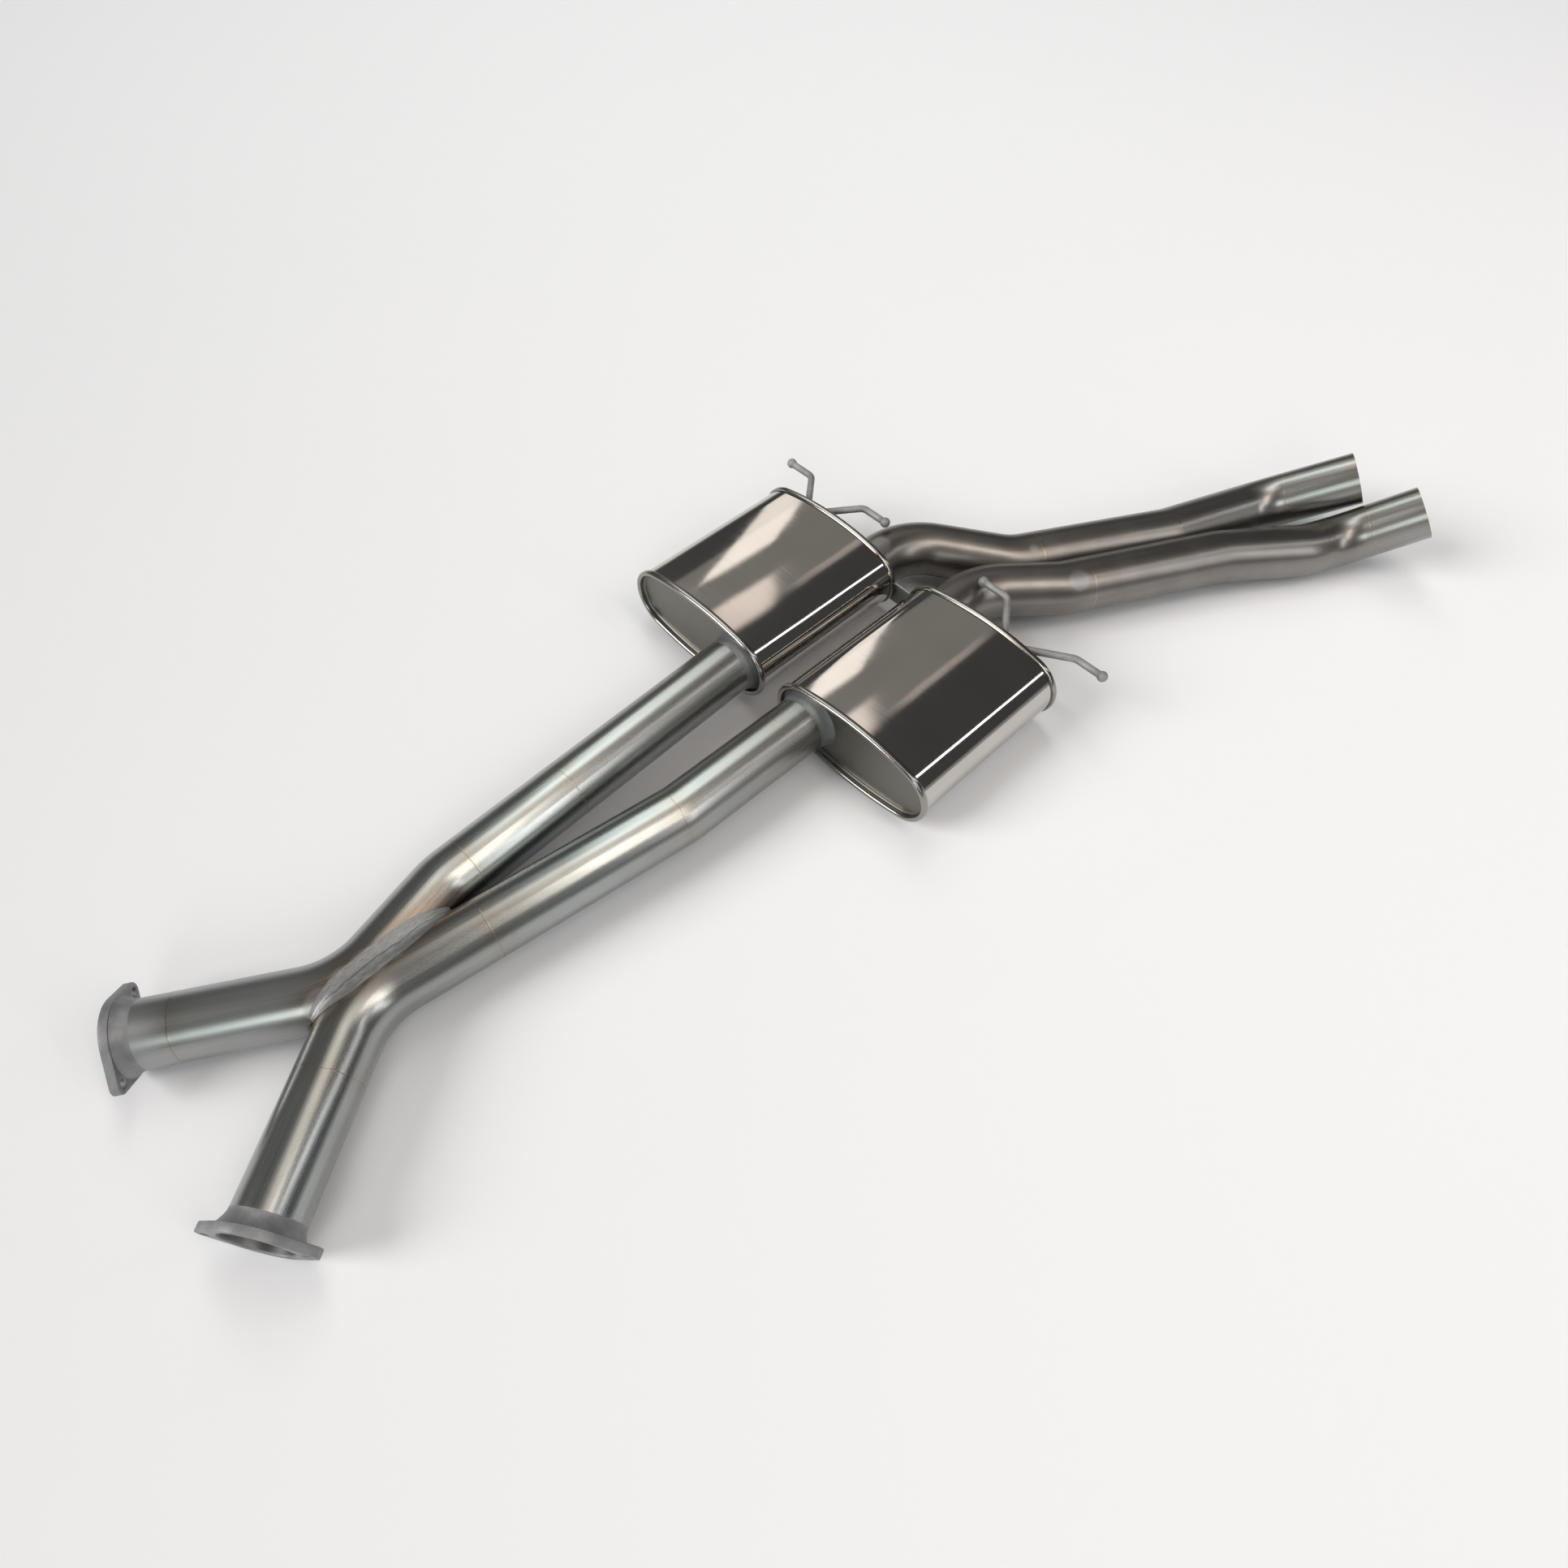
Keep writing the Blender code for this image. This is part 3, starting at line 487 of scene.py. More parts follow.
def pick(piece=None):
    """Select one piece alone, or nothing."""
    bpy.ops.object.select_all(action="DESELECT")
    if piece:
        piece.select_set(True)
        bpy.context.view_layer.objects.active = piece


def change(piece, kind, **settings):
    """Add a modifier, set it up and apply it."""
    made = piece.modifiers.new(kind.lower(), kind)
    for name, value in settings.items():
        setattr(made, name, value)
    bpy.context.view_layer.objects.active = piece
    bpy.ops.object.modifier_apply(modifier=made.name)


def pull_ring(name, sections, wrap=False, caps=False):
    """A mesh drawn from a circle that is laid on each section in turn."""
    pick()
    bpy.ops.mesh.primitive_circle_add(vertices=len(sections[0]), radius=FIRST_RADIUS)
    piece = bpy.context.object
    piece.name = piece.data.name = name
    bpy.ops.object.mode_set(mode="EDIT")
    work = bmesh.from_edit_mesh(piece.data)
    ring = list(work.verts)
    for vertex, spot in zip(ring, sections[0]):
        vertex.co = spot
    if caps:
        bpy.ops.mesh.edge_face_add()
        bpy.ops.mesh.select_all(action="SELECT")
    for spots in (*sections[1:], *(sections[:1] if wrap else ())):
        bpy.ops.mesh.extrude_edges_move()
        ring = [next(other for edge in vertex.link_edges
                     for other in [edge.other_vert(vertex)] if other.select) for vertex in ring]
        for vertex, spot in zip(ring, spots):
            vertex.co = spot
    if caps:
        bpy.ops.mesh.edge_face_add()
    bpy.ops.mesh.select_all(action="SELECT")
    if wrap:
        bpy.ops.mesh.remove_doubles(threshold=MERGE_GAP)
    bpy.ops.mesh.normals_make_consistent(inside=False)
    bpy.ops.object.mode_set(mode="OBJECT")
    return piece


def turned(name, station, profile, sides):
    """A closed ring of one profile, which gives places along the tube and radii."""
    return pull_ring(name, [section(station, radius, sides, along) for along, radius in profile], wrap=True)


def stand_for(piece, node, finish, smooth=35):
    """Give a piece its finish and let it stand for a CAD node."""
    piece.data.materials.clear()
    piece.data.materials.append(finish)
    pick(piece)
    bpy.ops.object.shade_smooth_by_angle(angle=math.radians(smooth))
    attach(piece, "root")
    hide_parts(node)


def write_vectors(piece, name, vectors):
    """Give every vertex a vector of its own."""
    layer = piece.data.attributes.new(name, "FLOAT_VECTOR", "POINT")
    layer.data.foreach_set("vector", np.ravel(vectors))


def unroll(piece, line, start, end, tones=((0.0,), (0.0,))):
    """Write each vertex's place on the straightened tube, its distances to both ends, and its tone."""
    spots = np.empty(3 * len(piece.data.vertices))
    piece.data.vertices.foreach_get("co", spots)
    spots = spots.reshape(-1, 3)
    rows = [line.at(d) for d in np.linspace(start, end, max(3, int((end - start) / UNROLL_STEP)))]
    places = np.array([row[1][:] for row in rows])
    near = ((spots[:, None, :] - places[None]) ** 2).sum(axis=2).argmin(axis=1)
    frames = np.array([[row[2][:], *(a[:] for a in axes(row[2]))] for row in rows])[near]
    local = np.einsum("nij,nj->ni", frames, spots - places[near])
    along = np.array([row[0] for row in rows])[near] + local[:, 0]
    around = np.arctan2(local[:, 2], local[:, 1])
    straight = np.stack([TUBE_RADIUS * np.cos(around), TUBE_RADIUS * np.sin(around), along], axis=1)
    write_vectors(piece, "straight", straight)
    write_vectors(piece, "ends", np.stack([along - start, end - along, np.interp(along, *tones)], axis=1))


print("rings are pulled in edit mode")

# %% [markdown]
# The lines were made from bends and straight lengths, cut square and butt-welded. The seams' places come
# from the faint rings in the picture. Two pieces of a line rarely come from the same batch, so each one has
# its own tone in its middle, from 0 for a cool silver tube to 1 for a warmer one, and the tones blend.

# %% Tubes
TUBE_SIDES = 64
CROSS_REACH = {"right": (0.194, 0.166), "left": (0.106, 0.128)}
FRONT_SEAMS = {"right": (0.318,), "left": (0.250, 0.081)}
OUTLET_SEAM = {"right": 0.298, "left": 0.264}
TAIL_SEAMS = {"right": (0.3045, 0.099), "left": (0.161, 0.070)}
TONES = {"inlet_pipe": 0.1, "cross_bend": 0.35, "mid_pipe": 0.05, "mid_bend": 0.5,
         "muffler_inlet_pipe": 0.55, "outlet_bend": 1.0, "rear_pipe": 1.0, "tail_bend": 0.8,
         "tail_pipe": 0.5}


def cuts(side):
    """The seams of a side's two lines, from front to back, with the pieces between them."""
    line = fronts[side]
    first = line.nearest(crossing) - CROSS_REACH[side][0]
    second = first + sum(CROSS_REACH[side])
    last = [line.length - reach for reach in FRONT_SEAMS[side]]
    bend = ["mid_bend"] if side == "left" else []
    names = ["inlet_pipe", "cross_bend", "mid_pipe", *bend, "muffler_inlet_pipe"]
    yield line, names, [0.0, first, second, *last, line.length]
    line = rears[side]
    last = [line.length - reach for reach in TAIL_SEAMS[side]]
    names = ["outlet_bend", "rear_pipe", "tail_bend", "tail_pipe"]
    yield line, names, [0.0, OUTLET_SEAM[side], *last, line.length]


tubes = {}
seams = []
for side in SIDES:
    for line, names, ends in cuts(side):
        halfway = [(start + end) / 2 for start, end in zip(ends, ends[1:])]
        tones = (halfway, [TONES[name] for name in names])
        for name, start, end in zip(names, ends, ends[1:]):
            stations = line.stations(start, end)
            outer = [section(station, TUBE_RADIUS, TUBE_SIDES) for station in stations]
            bore = TUBE_RADIUS - TUBE_WALL
            inner = [section(station, bore, TUBE_SIDES) for station in reversed(stations)]
            piece = pull_ring(f"{side}_{name}_tube", outer + inner, wrap=True)
            unroll(piece, line, start, end, tones)
            tubes[f"{side}_{name}"] = piece
            if end < line.length:
                seams.append((f"{side}_{name}_weld", line, end))
print(len(tubes), "tubes and", len(seams), "seams")

# %% [markdown]
# At the X the two bends are cut open along the upright plane between them and welded edge to edge, so gas
# can cross over. A bisect with fill makes that cut in one step and closes the wall's thickness.

# %% Open the cross bends
for side, sign in SIDES.items():
    pick(tubes[f"{side}_cross_bend"])
    bpy.ops.object.mode_set(mode="EDIT")
    bpy.ops.mesh.select_all(action="SELECT")
    bpy.ops.mesh.bisect(plane_co=crossing, plane_no=across * sign, use_fill=True, clear_inner=True)
    bpy.ops.object.mode_set(mode="OBJECT")
for node, piece in tubes.items():
    stand_for(piece, node, tube_finish)
print("cross bend faces:", [len(tubes[f"{side}_cross_bend"].data.polygons) for side in SIDES])

# %% [markdown]
# A ground seam is still a hair higher than the tube: a few hundredths of a millimetre at its crest. It is
# a ring of lens-shaped profile, pulled along the tube and back inside it.

# %% Seam welds
SEAM_WIDTH = 0.0030
SEAM_HEIGHT = 0.00009
SEAM_SINK = 0.00006
SEAM_DEPTH = 0.0006
SEAM_STEPS = 8
SEAM_REACH = 0.01
seam_foot = TUBE_RADIUS - SEAM_SINK
seam_profile = [(SEAM_WIDTH * (share - 0.5), seam_foot + SEAM_HEIGHT * math.sin(math.pi * share))
                for share in np.linspace(0.0, 1.0, SEAM_STEPS + 1)]
seam_profile += [(way * SEAM_WIDTH / 2, TUBE_RADIUS - SEAM_DEPTH) for way in (1, -1)]
for node, line, distance in seams:
    piece = turned(f"{node}_ring", line.at(distance), seam_profile, TUBE_SIDES)
    unroll(piece, line, distance - SEAM_REACH, distance + SEAM_REACH)
    stand_for(piece, node, seam_finish)
print(len(seams), "seam rings,", round(1000 * SEAM_HEIGHT, 2), "mm high")

# %% [markdown]
# In the valley of the X lies a wide weld, filled and then ground to a smooth hollow. It follows both tubes:
# at each point across it, the seat is the higher of the two tube walls, and the weld's skin bridges the
# valley with a sagging curve. Sections are taken every few millimetres and joined by the same pulled ring.

# %% Valley welds
VALLEY_HALF_WIDTH = 0.0150
VALLEY_HOLLOW = 0.42
VALLEY_SAG = 1.3
VALLEY_EDGE = 0.0003
VALLEY_SKIN = 0.0002
VALLEY_ROOT = 0.0008
VALLEY_END = 0.016
VALLEY_POINT = 0.060
VALLEY_TIP = 0.25
VALLEY_STEPS = 8
VALLEY_SECTIONS = 70
WALK_STEP = 0.001
plan = {side: np.array([point[:] for point in line.points]) for side, line in fronts.items()}


def wall_height(spot, side):
    """Mid height and height above it of one tube's wall over a plan point, or None."""
    points = plan[side]
    leg = points[1:, :2] - points[:-1, :2]
    share = ((np.array(spot[:2]) - points[:-1, :2]) * leg).sum(axis=1) / (leg ** 2).sum(axis=1)
    foot = points[:-1] + np.clip(share, 0, 1)[:, None] * (points[1:] - points[:-1])
    away = np.hypot(*(foot[:, :2] - np.array(spot[:2])).T)
    best = int(away.argmin())
    if away[best] >= TUBE_RADIUS:
        return None
    return foot[best, 2], math.sqrt(TUBE_RADIUS ** 2 - away[best] ** 2)


def seat(along, width):
    spot = crossing + along_plane * along + across * width
    found = [wall_height(spot, side) for side, sign in SIDES.items() if sign * width >= 0]
    return spot, max((pair for pair in found if pair), key=lambda pair: pair[1], default=(crossing.z, 0.0))


def valley_weld(name, flip):
    reach = []
    for way in (-1, 1):
        along = 0.0
        while seat(along + way * WALK_STEP, 0.0)[1][1] > VALLEY_END:
            along += way * WALK_STEP
        reach.append(along)
    shares = [i / VALLEY_STEPS for i in range(-VALLEY_STEPS, VALLEY_STEPS + 1)]
    sections = []
    for along in np.linspace(*reach, VALLEY_SECTIONS):
        point = min(along - reach[0], reach[1] - along) / VALLEY_POINT
        full = math.sin(min(point, 1.0) * math.pi / 2)
        half_width = VALLEY_HALF_WIDTH * (VALLEY_TIP + (1 - VALLEY_TIP) * full)
        seats = [seat(along, share * half_width) for share in shares]
        heights = [pair[1] for spot, pair in seats]
        brow = (heights[0] + heights[-1]) / 2
        valley = heights[len(heights) // 2]
        under, over = [], []
        for share, (spot, (middle, height)) in zip(shares, seats):
            hollow = brow - VALLEY_HOLLOW * (brow - valley) * (1 - share ** 2) ** VALLEY_SAG
            raised = max(height + VALLEY_EDGE * (1 - abs(share)), hollow) + VALLEY_SKIN
            under.append(Vector((spot.x, spot.y, middle + flip * (height - VALLEY_ROOT))))
            over.append(Vector((spot.x, spot.y, middle + flip * raised)))
        sections.append(under + over[::-1])
    piece = pull_ring(name, sections, caps=True)
    away = [vertex.co - crossing for vertex in piece.data.vertices]
    write_vectors(piece, "straight", [(gap.dot(along_plane), 0.0, gap.dot(across)) for gap in away])
    return piece, reach


for place, flip in (("top", 1), ("bottom", -1)):
    piece, reach = valley_weld(f"valley_weld_{place}", flip)
    stand_for(piece, f"cross_weld_{place}", valley_finish, 60)
print("valley weld length, mm:", round(1000 * (reach[1] - reach[0])))

# %% [markdown]
# The inlet flanges are 10 mm plate: a round body with two ears for M10 bolts. The outline is what a string
# pulled round three discs would give, and Blender's convex hull does just that with three cylinders. The
# bores are cut with Booleans, and a small bevel breaks every edge, as a file does.

# %% Flanges
FLANGE_THICKNESS = 0.010
FLANGE_RADIUS = 0.046
EAR_RADIUS = 0.0115
BOLT_SPACING = 0.104
BOLT_HOLE = 0.011
PIPE_SETBACK = 0.002
FLANGE_SIDES = 128
EAR_SIDES = 48
BORE_SIDES = 96
BORE_PLAY = 0.0002
BROKEN_EDGE = 0.0011
EARS = (-BOLT_SPACING / 2, BOLT_SPACING / 2)
BORES = [(TUBE_RADIUS + BORE_PLAY, 0.0), *((BOLT_HOLE / 2, x) for x in EARS)]


def add_disc(radius, x, depth, sides):
    bpy.ops.mesh.primitive_cylinder_add(vertices=sides, radius=radius, depth=depth,
                                        location=(x, 0, FLANGE_THICKNESS / 2))


def flange_plate(name, pose):
    pick()
    add_disc(FLANGE_RADIUS, 0.0, FLANGE_THICKNESS, FLANGE_SIDES)
    plate = bpy.context.object
    plate.name = plate.data.name = name
    plate.data.transform(Matrix.Translation(plate.location))
    plate.location = (0, 0, 0)
    bpy.ops.object.mode_set(mode="EDIT")
    for x in EARS:
        add_disc(EAR_RADIUS, x, FLANGE_THICKNESS, EAR_SIDES)
    bpy.ops.mesh.select_all(action="SELECT")
    bpy.ops.mesh.convex_hull()
    bpy.ops.mesh.dissolve_limited(angle_limit=math.radians(0.2))
    bpy.ops.object.mode_set(mode="OBJECT")
    for radius, x in BORES:
        pick()
        add_disc(radius, x, 4 * FLANGE_THICKNESS, BORE_SIDES)
        cutter = bpy.context.object
        change(plate, "BOOLEAN", operation="DIFFERENCE", object=cutter)
        bpy.data.objects.remove(cutter, do_unlink=True)
    change(plate, "BEVEL", width=BROKEN_EDGE, segments=3, limit_method="ANGLE", angle_limit=math.radians(50))
    plate.data.transform(pose)
    return plate


for side in SIDES:
    _, spot, tangent = fronts[side].at(0.0)
    sideways, top = axes(tangent)
    turn = Matrix((sideways, top, tangent)).transposed().to_4x4()
    plate = flange_plate(f"{side}_flange_plate", Matrix.Translation(spot - tangent * PIPE_SETBACK) @ turn)
    stand_for(plate, f"{side}_inlet_flange", flange_finish)
print("flange faces:", len(plate.data.polygons))

# %% [markdown]
# Where a tube meets a flange or a muffler cap, the weld was dressed to a hollow flare. Its profile is a
# quarter of a sine curve, laid on the tube as a set of rings.

# %% Weld collars
CAP_RECESS = 0.009
COLLAR_SIDES = 96
COLLAR_STEPS = 12
COLLAR_SINK = 0.0004
COLLAR_SKIN = 0.00005
FLANGE_FLARE = (0.016, 0.0062)
PORT_FLARE = (0.019, 0.0055)


def collar(name, station, flare, way):
    length, rise = flare
    profile = [(0.0, TUBE_RADIUS - COLLAR_SINK)]
    for i in range(COLLAR_STEPS + 1):
        share = i / COLLAR_STEPS
        lift = rise * (1 - math.sin(share * math.pi / 2))
        profile.append((way * length * share, TUBE_RADIUS + COLLAR_SKIN + lift))
    profile.append((way * length, TUBE_RADIUS - COLLAR_SINK))
    return turned(name, station, profile, COLLAR_SIDES)


for side in SIDES:
    front = fronts[side]
    piece = collar(f"{side}_flange_flare", front.at(FLANGE_THICKNESS - PIPE_SETBACK), FLANGE_FLARE, 1)
    stand_for(piece, f"{side}_flange_weld", flange_finish)
    piece = collar(f"{side}_inlet_flare", front.at(front.length - PORT_DEPTH + CAP_RECESS), PORT_FLARE, -1)
    stand_for(piece, f"{side}_muffler_inlet_weld", collar_finish)
    piece = collar(f"{side}_outlet_flare", rears[side].at(PORT_DEPTH - CAP_RECESS), PORT_FLARE, 1)
    stand_for(piece, f"{side}_muffler_outlet_weld", collar_finish)
print("six flared welds")

# %% [markdown]
# A muffler is an oval tube of thin sheet. Its outline has four arcs: two wide ones over and under, two
# tight ones at the sides. The caps are pressed plates, set back, whose rims are rolled over the shell's
# edge. Both are drawn from the same outline, moved in or out, so the rim fits the shell all round.

# %% Muffler outline
SHELL_WIDTH = 0.250
SHELL_HEIGHT = 0.110
SHELL_END_RADIUS = 0.046
SHELL_SHEET = 0.0012
SHELL_STEPS = 9
ARC_POINTS = 40


def oval(x, offset, side):
    """The shell's outline at a place along it, moved outwards."""
    half_width = SHELL_WIDTH / 2 - SHELL_END_RADIUS
    half_height = SHELL_HEIGHT / 2
    span = half_width ** 2 + half_height ** 2 - SHELL_END_RADIUS ** 2
    wide = span / (2 * (half_height - SHELL_END_RADIUS))
    lean = math.atan2(half_width, wide - half_height)
    upright = math.pi / 2
    arcs = (((half_width, 0.0), SHELL_END_RADIUS, lean - upright, upright - lean),
            ((0.0, half_height - wide), wide, upright - lean, upright + lean))
    spots = []
    for flip in (1, -1):
        for centre, radius, first, last in arcs:
            for i in range(ARC_POINTS):
                angle = first + (last - first) * i / ARC_POINTS
                y = centre[0] + (radius + offset) * math.cos(angle)
                z = centre[1] + (radius + offset) * math.sin(angle)
                spots.append(Vector((x, middle_y[side] + flip * y, flip * z)) + origin)
    return spots


for side in SIDES:
    ends = (SHELL_EDGE, MUFFLER_LENGTH - SHELL_EDGE)
    sections = [oval(x, 0.0, side) for x in np.linspace(*ends, SHELL_STEPS)]
    sections += [oval(x, -SHELL_SHEET, side) for x in reversed(ends)]
    piece = pull_ring(f"{side}_shell_sheet", sections, wrap=True)
    stand_for(piece, f"{side}_muffler_shell", shell_finish)
print("oval of", 4 * ARC_POINTS, "points")

# %% [markdown]
# The rim's profile runs from the flat plate up a small fillet, over the rolled edge and down the outside of
# the shell. It is a sheet with no thickness at first; Solidify gives it that. The plate is filled between
# its edge and a circle for the tube. Rolling polished the rim and left the plate dull, so an attribute
# called rim tells the finish which of the two a point lies on.

# %% End caps
RIM_PROUD = 0.003
RIM_LIP = 0.004
FILLET = 0.003
FILLET_START = 0.2
FILLET_STEPS = 5
ROLL_STEPS = 13
RIM_EDGE = ((0.002, RIM_PROUD), (0.0006, 0.8 * RIM_PROUD), (0.0002, 0.0003))
PLATE_RINGS = 4
FADE_RINGS = 2
CAP_SHEET = 0.001
rim_profile = [(CAP_RECESS, -RIM_LIP - FILLET)]
rim_profile += [(CAP_RECESS - FILLET * (1 - math.cos(a)), -RIM_LIP - FILLET * (1 - math.sin(a)))
                for a in np.linspace(FILLET_START, math.pi / 2, FILLET_STEPS)]
roll = (RIM_LIP + RIM_PROUD) / 2
rim_profile += [(roll * (1 - math.sin(a)), (RIM_PROUD - RIM_LIP) / 2 - roll * math.cos(a))
                for a in np.linspace(0.0, math.pi, ROLL_STEPS)]
rim_profile += [(RIM_LENGTH - depth, height) for depth, height in RIM_EDGE]


def end_cap(name, side, face, way):
    sections = [oval(face + way * depth, offset, side) for depth, offset in reversed(rim_profile)]
    cap = pull_ring(name, sections)
    bpy.ops.object.mode_set(mode="EDIT")
    bpy.ops.mesh.select_all(action="DESELECT")
    port = Vector((face + way * CAP_RECESS, port_y[side], 0)) + origin
    bpy.ops.mesh.primitive_circle_add(vertices=BORE_SIDES, radius=TUBE_RADIUS + BORE_PLAY, location=port,
                                      rotation=(0, math.pi / 2, 0))
    bpy.ops.mesh.select_all(action="DESELECT")
    for edge in bmesh.from_edit_mesh(cap.data).edges:
        if all(abs(vertex.co.x - port.x) < MERGE_GAP for vertex in edge.verts):
            edge.select_set(True)
    bpy.ops.mesh.fill(use_beauty=True)
    bpy.ops.mesh.select_all(action="SELECT")
    bpy.ops.mesh.normals_make_consistent(inside=False)
    bpy.ops.object.mode_set(mode="OBJECT")
    return cap


for side in SIDES:
    for end, face, way in (("front", 0.0, 1), ("rear", MUFFLER_LENGTH, -1)):
        cap = end_cap(f"{side}_{end}_cap_sheet", side, face, way)
        # the sheet faces out where its plate looks away from the muffler
        plate = max(cap.data.polygons, key=lambda face: face.area)
        if plate.normal.x * way > 0:
            cap.data.flip_normals()
        rings = np.arange(len(cap.data.vertices)) // (4 * ARC_POINTS)
        layer = cap.data.attributes.new("rim", "FLOAT", "POINT")
        polish = np.clip((len(rim_profile) - PLATE_RINGS - rings) / FADE_RINGS, 0.0, 1.0)
        layer.data.foreach_set("value", polish)
        change(cap, "SOLIDIFY", thickness=CAP_SHEET, offset=-1.0)
        stand_for(cap, f"{side}_muffler_{end}_cap", cap_finish)
print("cap rim drawn with", len(rim_profile), "sections")

# %% [markdown]
# Four rods behind the mufflers hold the exhaust in rubber hangers. Each is 10 mm bar, bent by hand and so
# never quite alike, with a ball forged on its tip that keeps the rubber on, and a fillet weld at its foot.

# %% Hanger rods
ROD_RADIUS = 0.005
BALL_RADIUS = 0.00725
ROD_HEIGHT = 0.038
ROD_ARM = 0.049
INNER_ARM_HEIGHT = 0.04695
ROD_BEND = 0.014
ROD_SIDES = 24
FOOT_WELD = ((0.0, 0.003), (0.001, 0.0016), (0.0024, 0.0006))
FOOT_HEIGHT = 0.004
BALL_STEPS = 14
BALL_FLAT = 0.12
RODS = {"right_outer": (0.050, 0.093, 0.051), "left_outer": (0.052, 0.118, 0.041),
        "right_inner": (0.030, -0.016, 0.047), "left_inner": (0.031, -0.010, 0.056)}
for name, (foot, knee, reach) in RODS.items():
    side, kind = name.split("_")
    outward = 1 if kind == "outer" else -1
    height = ROD_HEIGHT if kind == "outer" else INNER_ARM_HEIGHT
    ys = [middle_y[side] + SIDES[side] * value for value in (foot, foot, knee, knee + outward * ROD_ARM)]
    xs = [MUFFLER_LENGTH - CAP_RECESS, MUFFLER_LENGTH, MUFFLER_LENGTH + reach, MUFFLER_LENGTH + reach]
    zs = [ROD_HEIGHT, ROD_HEIGHT, height, height]
    line = Line(list(zip(xs, ys, zs)), [ROD_BEND] * 2)
    neck = line.length - BALL_RADIUS * (1 + math.sqrt(1 - (ROD_RADIUS / BALL_RADIUS) ** 2))
    sections = [section(line.at(up), ROD_RADIUS + out, ROD_SIDES) for up, out in FOOT_WELD]
    sections += [section(station, ROD_RADIUS, ROD_SIDES) for station in line.stations(FOOT_HEIGHT, neck)]
    first = math.pi - math.asin(ROD_RADIUS / BALL_RADIUS)
    for angle in np.linspace(first, BALL_FLAT, BALL_STEPS)[1:]:
        station = line.at(line.length - BALL_RADIUS * (1 - math.cos(angle)))
        sections.append(section(station, BALL_RADIUS * math.sin(angle), ROD_SIDES))
    piece = pull_ring(f"{name}_rod", sections, caps=True)
    stand_for(piece, f"{name}_hanger", rod_finish, 50)
print(len(RODS), "hanger rods")

# %% [markdown]
# A small upright plate ties the two rear rims together, so that the mufflers don't shake apart. It is a
# cube scaled to a plate, with its four corners rounded and then all edges broken.

# %% Brace
BRACE_CORNER = 0.006
BRACE_EDGE = 0.0006
low, high = (Vector(corner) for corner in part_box("muffler_brace"))
pick()
bpy.ops.mesh.primitive_cube_add(size=1.0)
brace = bpy.context.object
brace.name = brace.data.name = "brace_plate"
brace.data.transform(Matrix.Translation((low + high) / 2) @ Matrix.Diagonal((*(high - low), 1.0)))
bpy.ops.object.mode_set(mode="EDIT")
bpy.ops.mesh.select_all(action="DESELECT")
for edge in bmesh.from_edit_mesh(brace.data).edges:
    if abs((edge.verts[0].co - edge.verts[1].co).x) > 0.5 * (high.x - low.x):
        edge.select_set(True)
bpy.ops.mesh.bevel(offset=BRACE_CORNER, segments=6, affect="EDGES")
bpy.ops.mesh.select_all(action="SELECT")
bpy.ops.mesh.edges_select_sharp(sharpness=math.radians(60))
bpy.ops.mesh.bevel(offset=BRACE_EDGE, segments=2, affect="EDGES")
bpy.ops.object.mode_set(mode="OBJECT")
stand_for(brace, "muffler_brace", brace_finish)
print("brace plate, mm:", [round(1000 * value, 1) for value in high - low])

# %% [markdown]
# The floor is one pale plane under the exhaust, large enough to reach past the picture's edges. A very
# faint cloud keeps it from being a perfectly flat colour.

# %% Floor
FLOOR_SIZE = 60.0
FLOOR_DROP = 0.0005
FLOOR_CLOUD = 1 / 0.7
floor_finish, tree, place = new_finish("pale_studio_floor", metallic=0.0)
set_shader(tree, blend(tree, noise(tree, place, FLOOR_CLOUD, 2.0), "#f1f1f5", "#f4f4f8"), 0.9)
tree.nodes["Principled BSDF"].inputs["Specular IOR Level"].default_value = 0.1
pick()
bpy.ops.mesh.primitive_plane_add(size=FLOOR_SIZE, location=(0, 0, -FLOOR_DROP))
floor = bpy.context.object
floor.name = "studio_floor"
floor.data.materials.append(floor_finish)
print("floor of", round(FLOOR_SIZE), "m")

# %% [markdown]
# Polished metal shows its surroundings, so these make half of its look. The world is a plain studio: mid
# grey at the horizon, darker overhead, and darkest towards the back, as if a black card stood there,
# because dark places are what makes polished steel look polished.

# %% World
world = bpy.data.worlds.new("studio")
bpy.context.scene.world = world
world.use_nodes = True
tree = world.node_tree
heading = split(tree, add_node(tree, "TexCoord", output="Generated"))
ceiling = blend(tree, ramp(tree, heading[0], 0.20, 0.55, smooth=True), "#6b6a68", "#4b4b4c")
sky = blend(tree, ramp(tree, heading[2], 0.04, 0.20, smooth=True), "#a9a9a9", ceiling)
tree.links.new(sky, tree.nodes["Background"].inputs["Color"])
print("world of", len(tree.nodes), "nodes")

# %% [markdown]
# A sun lamp with a large angle lights the whole floor evenly from the left, with about a third of its light.
# The soft boxes hang flat under the ceiling, where the photographer would hang them, and show as the bright
# streaks on tubes and shells. Some are feathered: they fade out towards their rims, which gives their
# reflections soft edges. One more box stands behind the camera, with a grid that narrows its light.

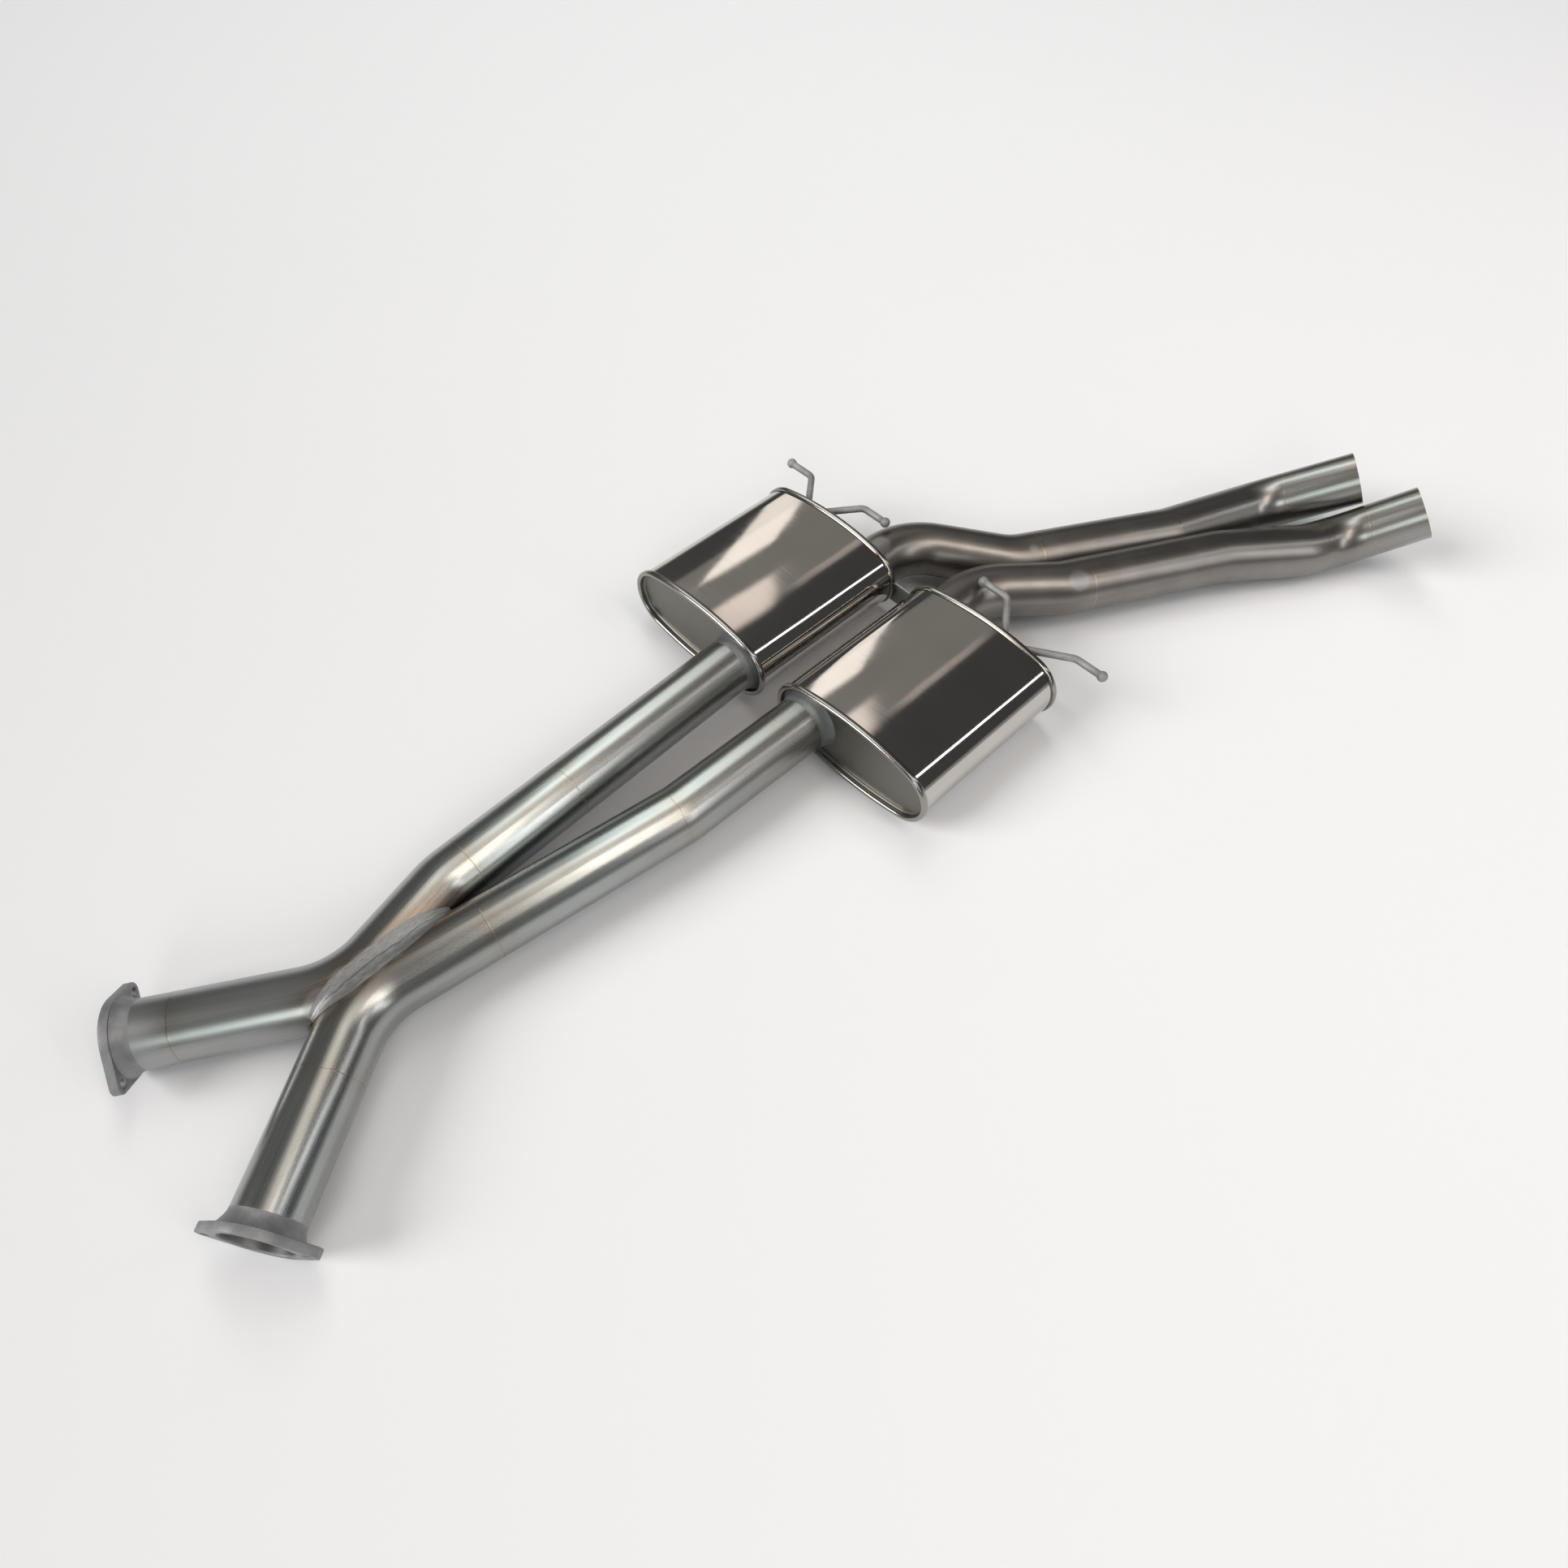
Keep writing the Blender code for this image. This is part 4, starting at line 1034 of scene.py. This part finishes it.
# %% Lamps
CEILING = 5.0
BAR_DROP = 0.01
SOFT_BOXES = {
    "long_panel": ((0.39, 0.66), (0.27, 1.08), -15.0, 3.60, "#f6fffb"),
    "top_panel": ((0.10, 0.14), (0.34, 0.74), 0.0, 1.60, "#fff1e4"),
    "back_panel": ((0.94, 0.89), (0.82, 1.22), 0.0, 0.21, "#fffaee"),
    "far_bar": ((1.205, 1.604), (0.17, 1.63), -35.0, 1.38, "#fff6f0"),
    "near_bar": ((0.575, 0.45), (0.15, 0.38), -18.0, 1.05, "#fff0e8"),
    "step_bar": ((0.74, 0.34), (0.26, 0.09), 0.0, 0.36, "#fff0e8"),
    "right_bar": ((1.05, -0.88), (0.13, 1.45), 66.0, 3.60, "#ffffff"),
    "left_bar": ((0.09, -0.62), (0.18, 0.80), 0.0, 6.20, "#fff5ea"),
    "outer_bar": ((0.52, -2.25), (0.17, 2.60), 8.0, 6.40, "#ffffff")}
FEATHERED = {"near_bar": 0.45, "step_bar": 0.6, "top_panel": 0.3, "back_panel": 0.2, "far_bar": 0.16}
FRONT_BOX = {"spot": (-3.9, -3.29, 2.83), "aim": (0, 0, 0), "size": (2.1, 2.1), "radiance": 5.5,
             "colour": "#f6fffb", "spread": 56.0}
OPEN_SPREAD = 180.0
SUN_ENERGY = 2.0
SUN_ANGLE = 30
SUN_TURN = (0, 58, 152)


def hang(name, data):
    """An object in the scene that holds a lamp or a camera."""
    holder = bpy.data.objects.new(name, data)
    bpy.context.collection.objects.link(holder)
    return holder


def euler(degrees):
    return Euler([math.radians(angle) for angle in degrees])


def soft_box(name, spot, aim, size, radiance, colour, spin=0.0, spread=OPEN_SPREAD):
    """An area lamp that shows with this brightness; a grid in front of it may narrow its spread."""
    lamp = bpy.data.lights.new(name, "AREA")
    lamp.shape = "RECTANGLE"
    lamp.size, lamp.size_y = size
    lamp.energy = radiance * math.pi * size[0] * size[1]
    if spread < OPEN_SPREAD:
        half = math.radians(spread / 2)
        lamp.spread = 2 * half
        lamp.energy *= 1 - half / math.tan(half)
    lamp.color = linear(colour)[:3]
    holder = hang(name, lamp)
    look = (Vector(aim) - Vector(spot)).to_track_quat("-Z", "Y").to_matrix().to_4x4()
    holder.matrix_world = Matrix.Translation(spot) @ look @ Matrix.Rotation(spin, 4, "Z")
    holder.visible_camera = False
    return lamp


def feather(lamp, share):
    """Fade a soft box out towards its rim, over this share of its half width and half length."""
    lamp.use_nodes = True
    tree = lamp.node_tree
    glow = 1.0
    for value in split(tree, add_node(tree, "NewGeometry", output="Parametric"))[:2]:
        away = calc(tree, "ABSOLUTE", calc(tree, "SUBTRACT", value, 0.5))
        glow = calc(tree, "MULTIPLY", ramp(tree, away, 0.5, 0.5 - share / 2, smooth=True), glow)
    tree.links.new(glow, tree.nodes["Emission"].inputs["Strength"])


for name, ((x, y), size, spin, radiance, colour) in SOFT_BOXES.items():
    spot = Vector((x, y, 1.0 - BAR_DROP * name.endswith("bar"))) * CEILING
    size = [CEILING * value for value in size]
    lamp = soft_box(name, spot, (spot.x, spot.y, 0.0), size, radiance, colour, math.radians(spin))
    if name in FEATHERED:
        feather(lamp, FEATHERED[name])
soft_box("front_box", **FRONT_BOX)
sun = bpy.data.lights.new("wide_lamp", "SUN")
sun.energy = SUN_ENERGY
sun.angle = math.radians(SUN_ANGLE)
sun.color = linear("#fffdfa")[:3]
hang("wide_lamp", sun).rotation_euler = euler(SUN_TURN)
print(len(SOFT_BOXES) + 1, "soft boxes and one wide lamp")

# %% [markdown]
# The camera was solved from the picture: tube edges, rims and flanges fix its place, and the lens follows
# from how fast the tubes shrink with distance. A phone's main lens has just that angle of view.

# %% Camera
CAMERA_PLACE = (-0.65704, -0.65999, 1.09453)
CAMERA_TURN = (35.705, -0.79, -44.225)
lens = bpy.data.cameras.new("picture_camera")
lens.sensor_width = 36.0
lens.lens = 24.99
lens.shift_x = 0.00743
lens.shift_y = -0.00223
camera = hang("picture_camera", lens)
camera.location = Vector(CAMERA_PLACE) + origin
camera.rotation_euler = euler(CAMERA_TURN)
bpy.context.scene.camera = camera
bpy.context.scene.view_settings.view_transform = "Standard"
print("camera at, mm:", [round(1000 * value) for value in camera.location])
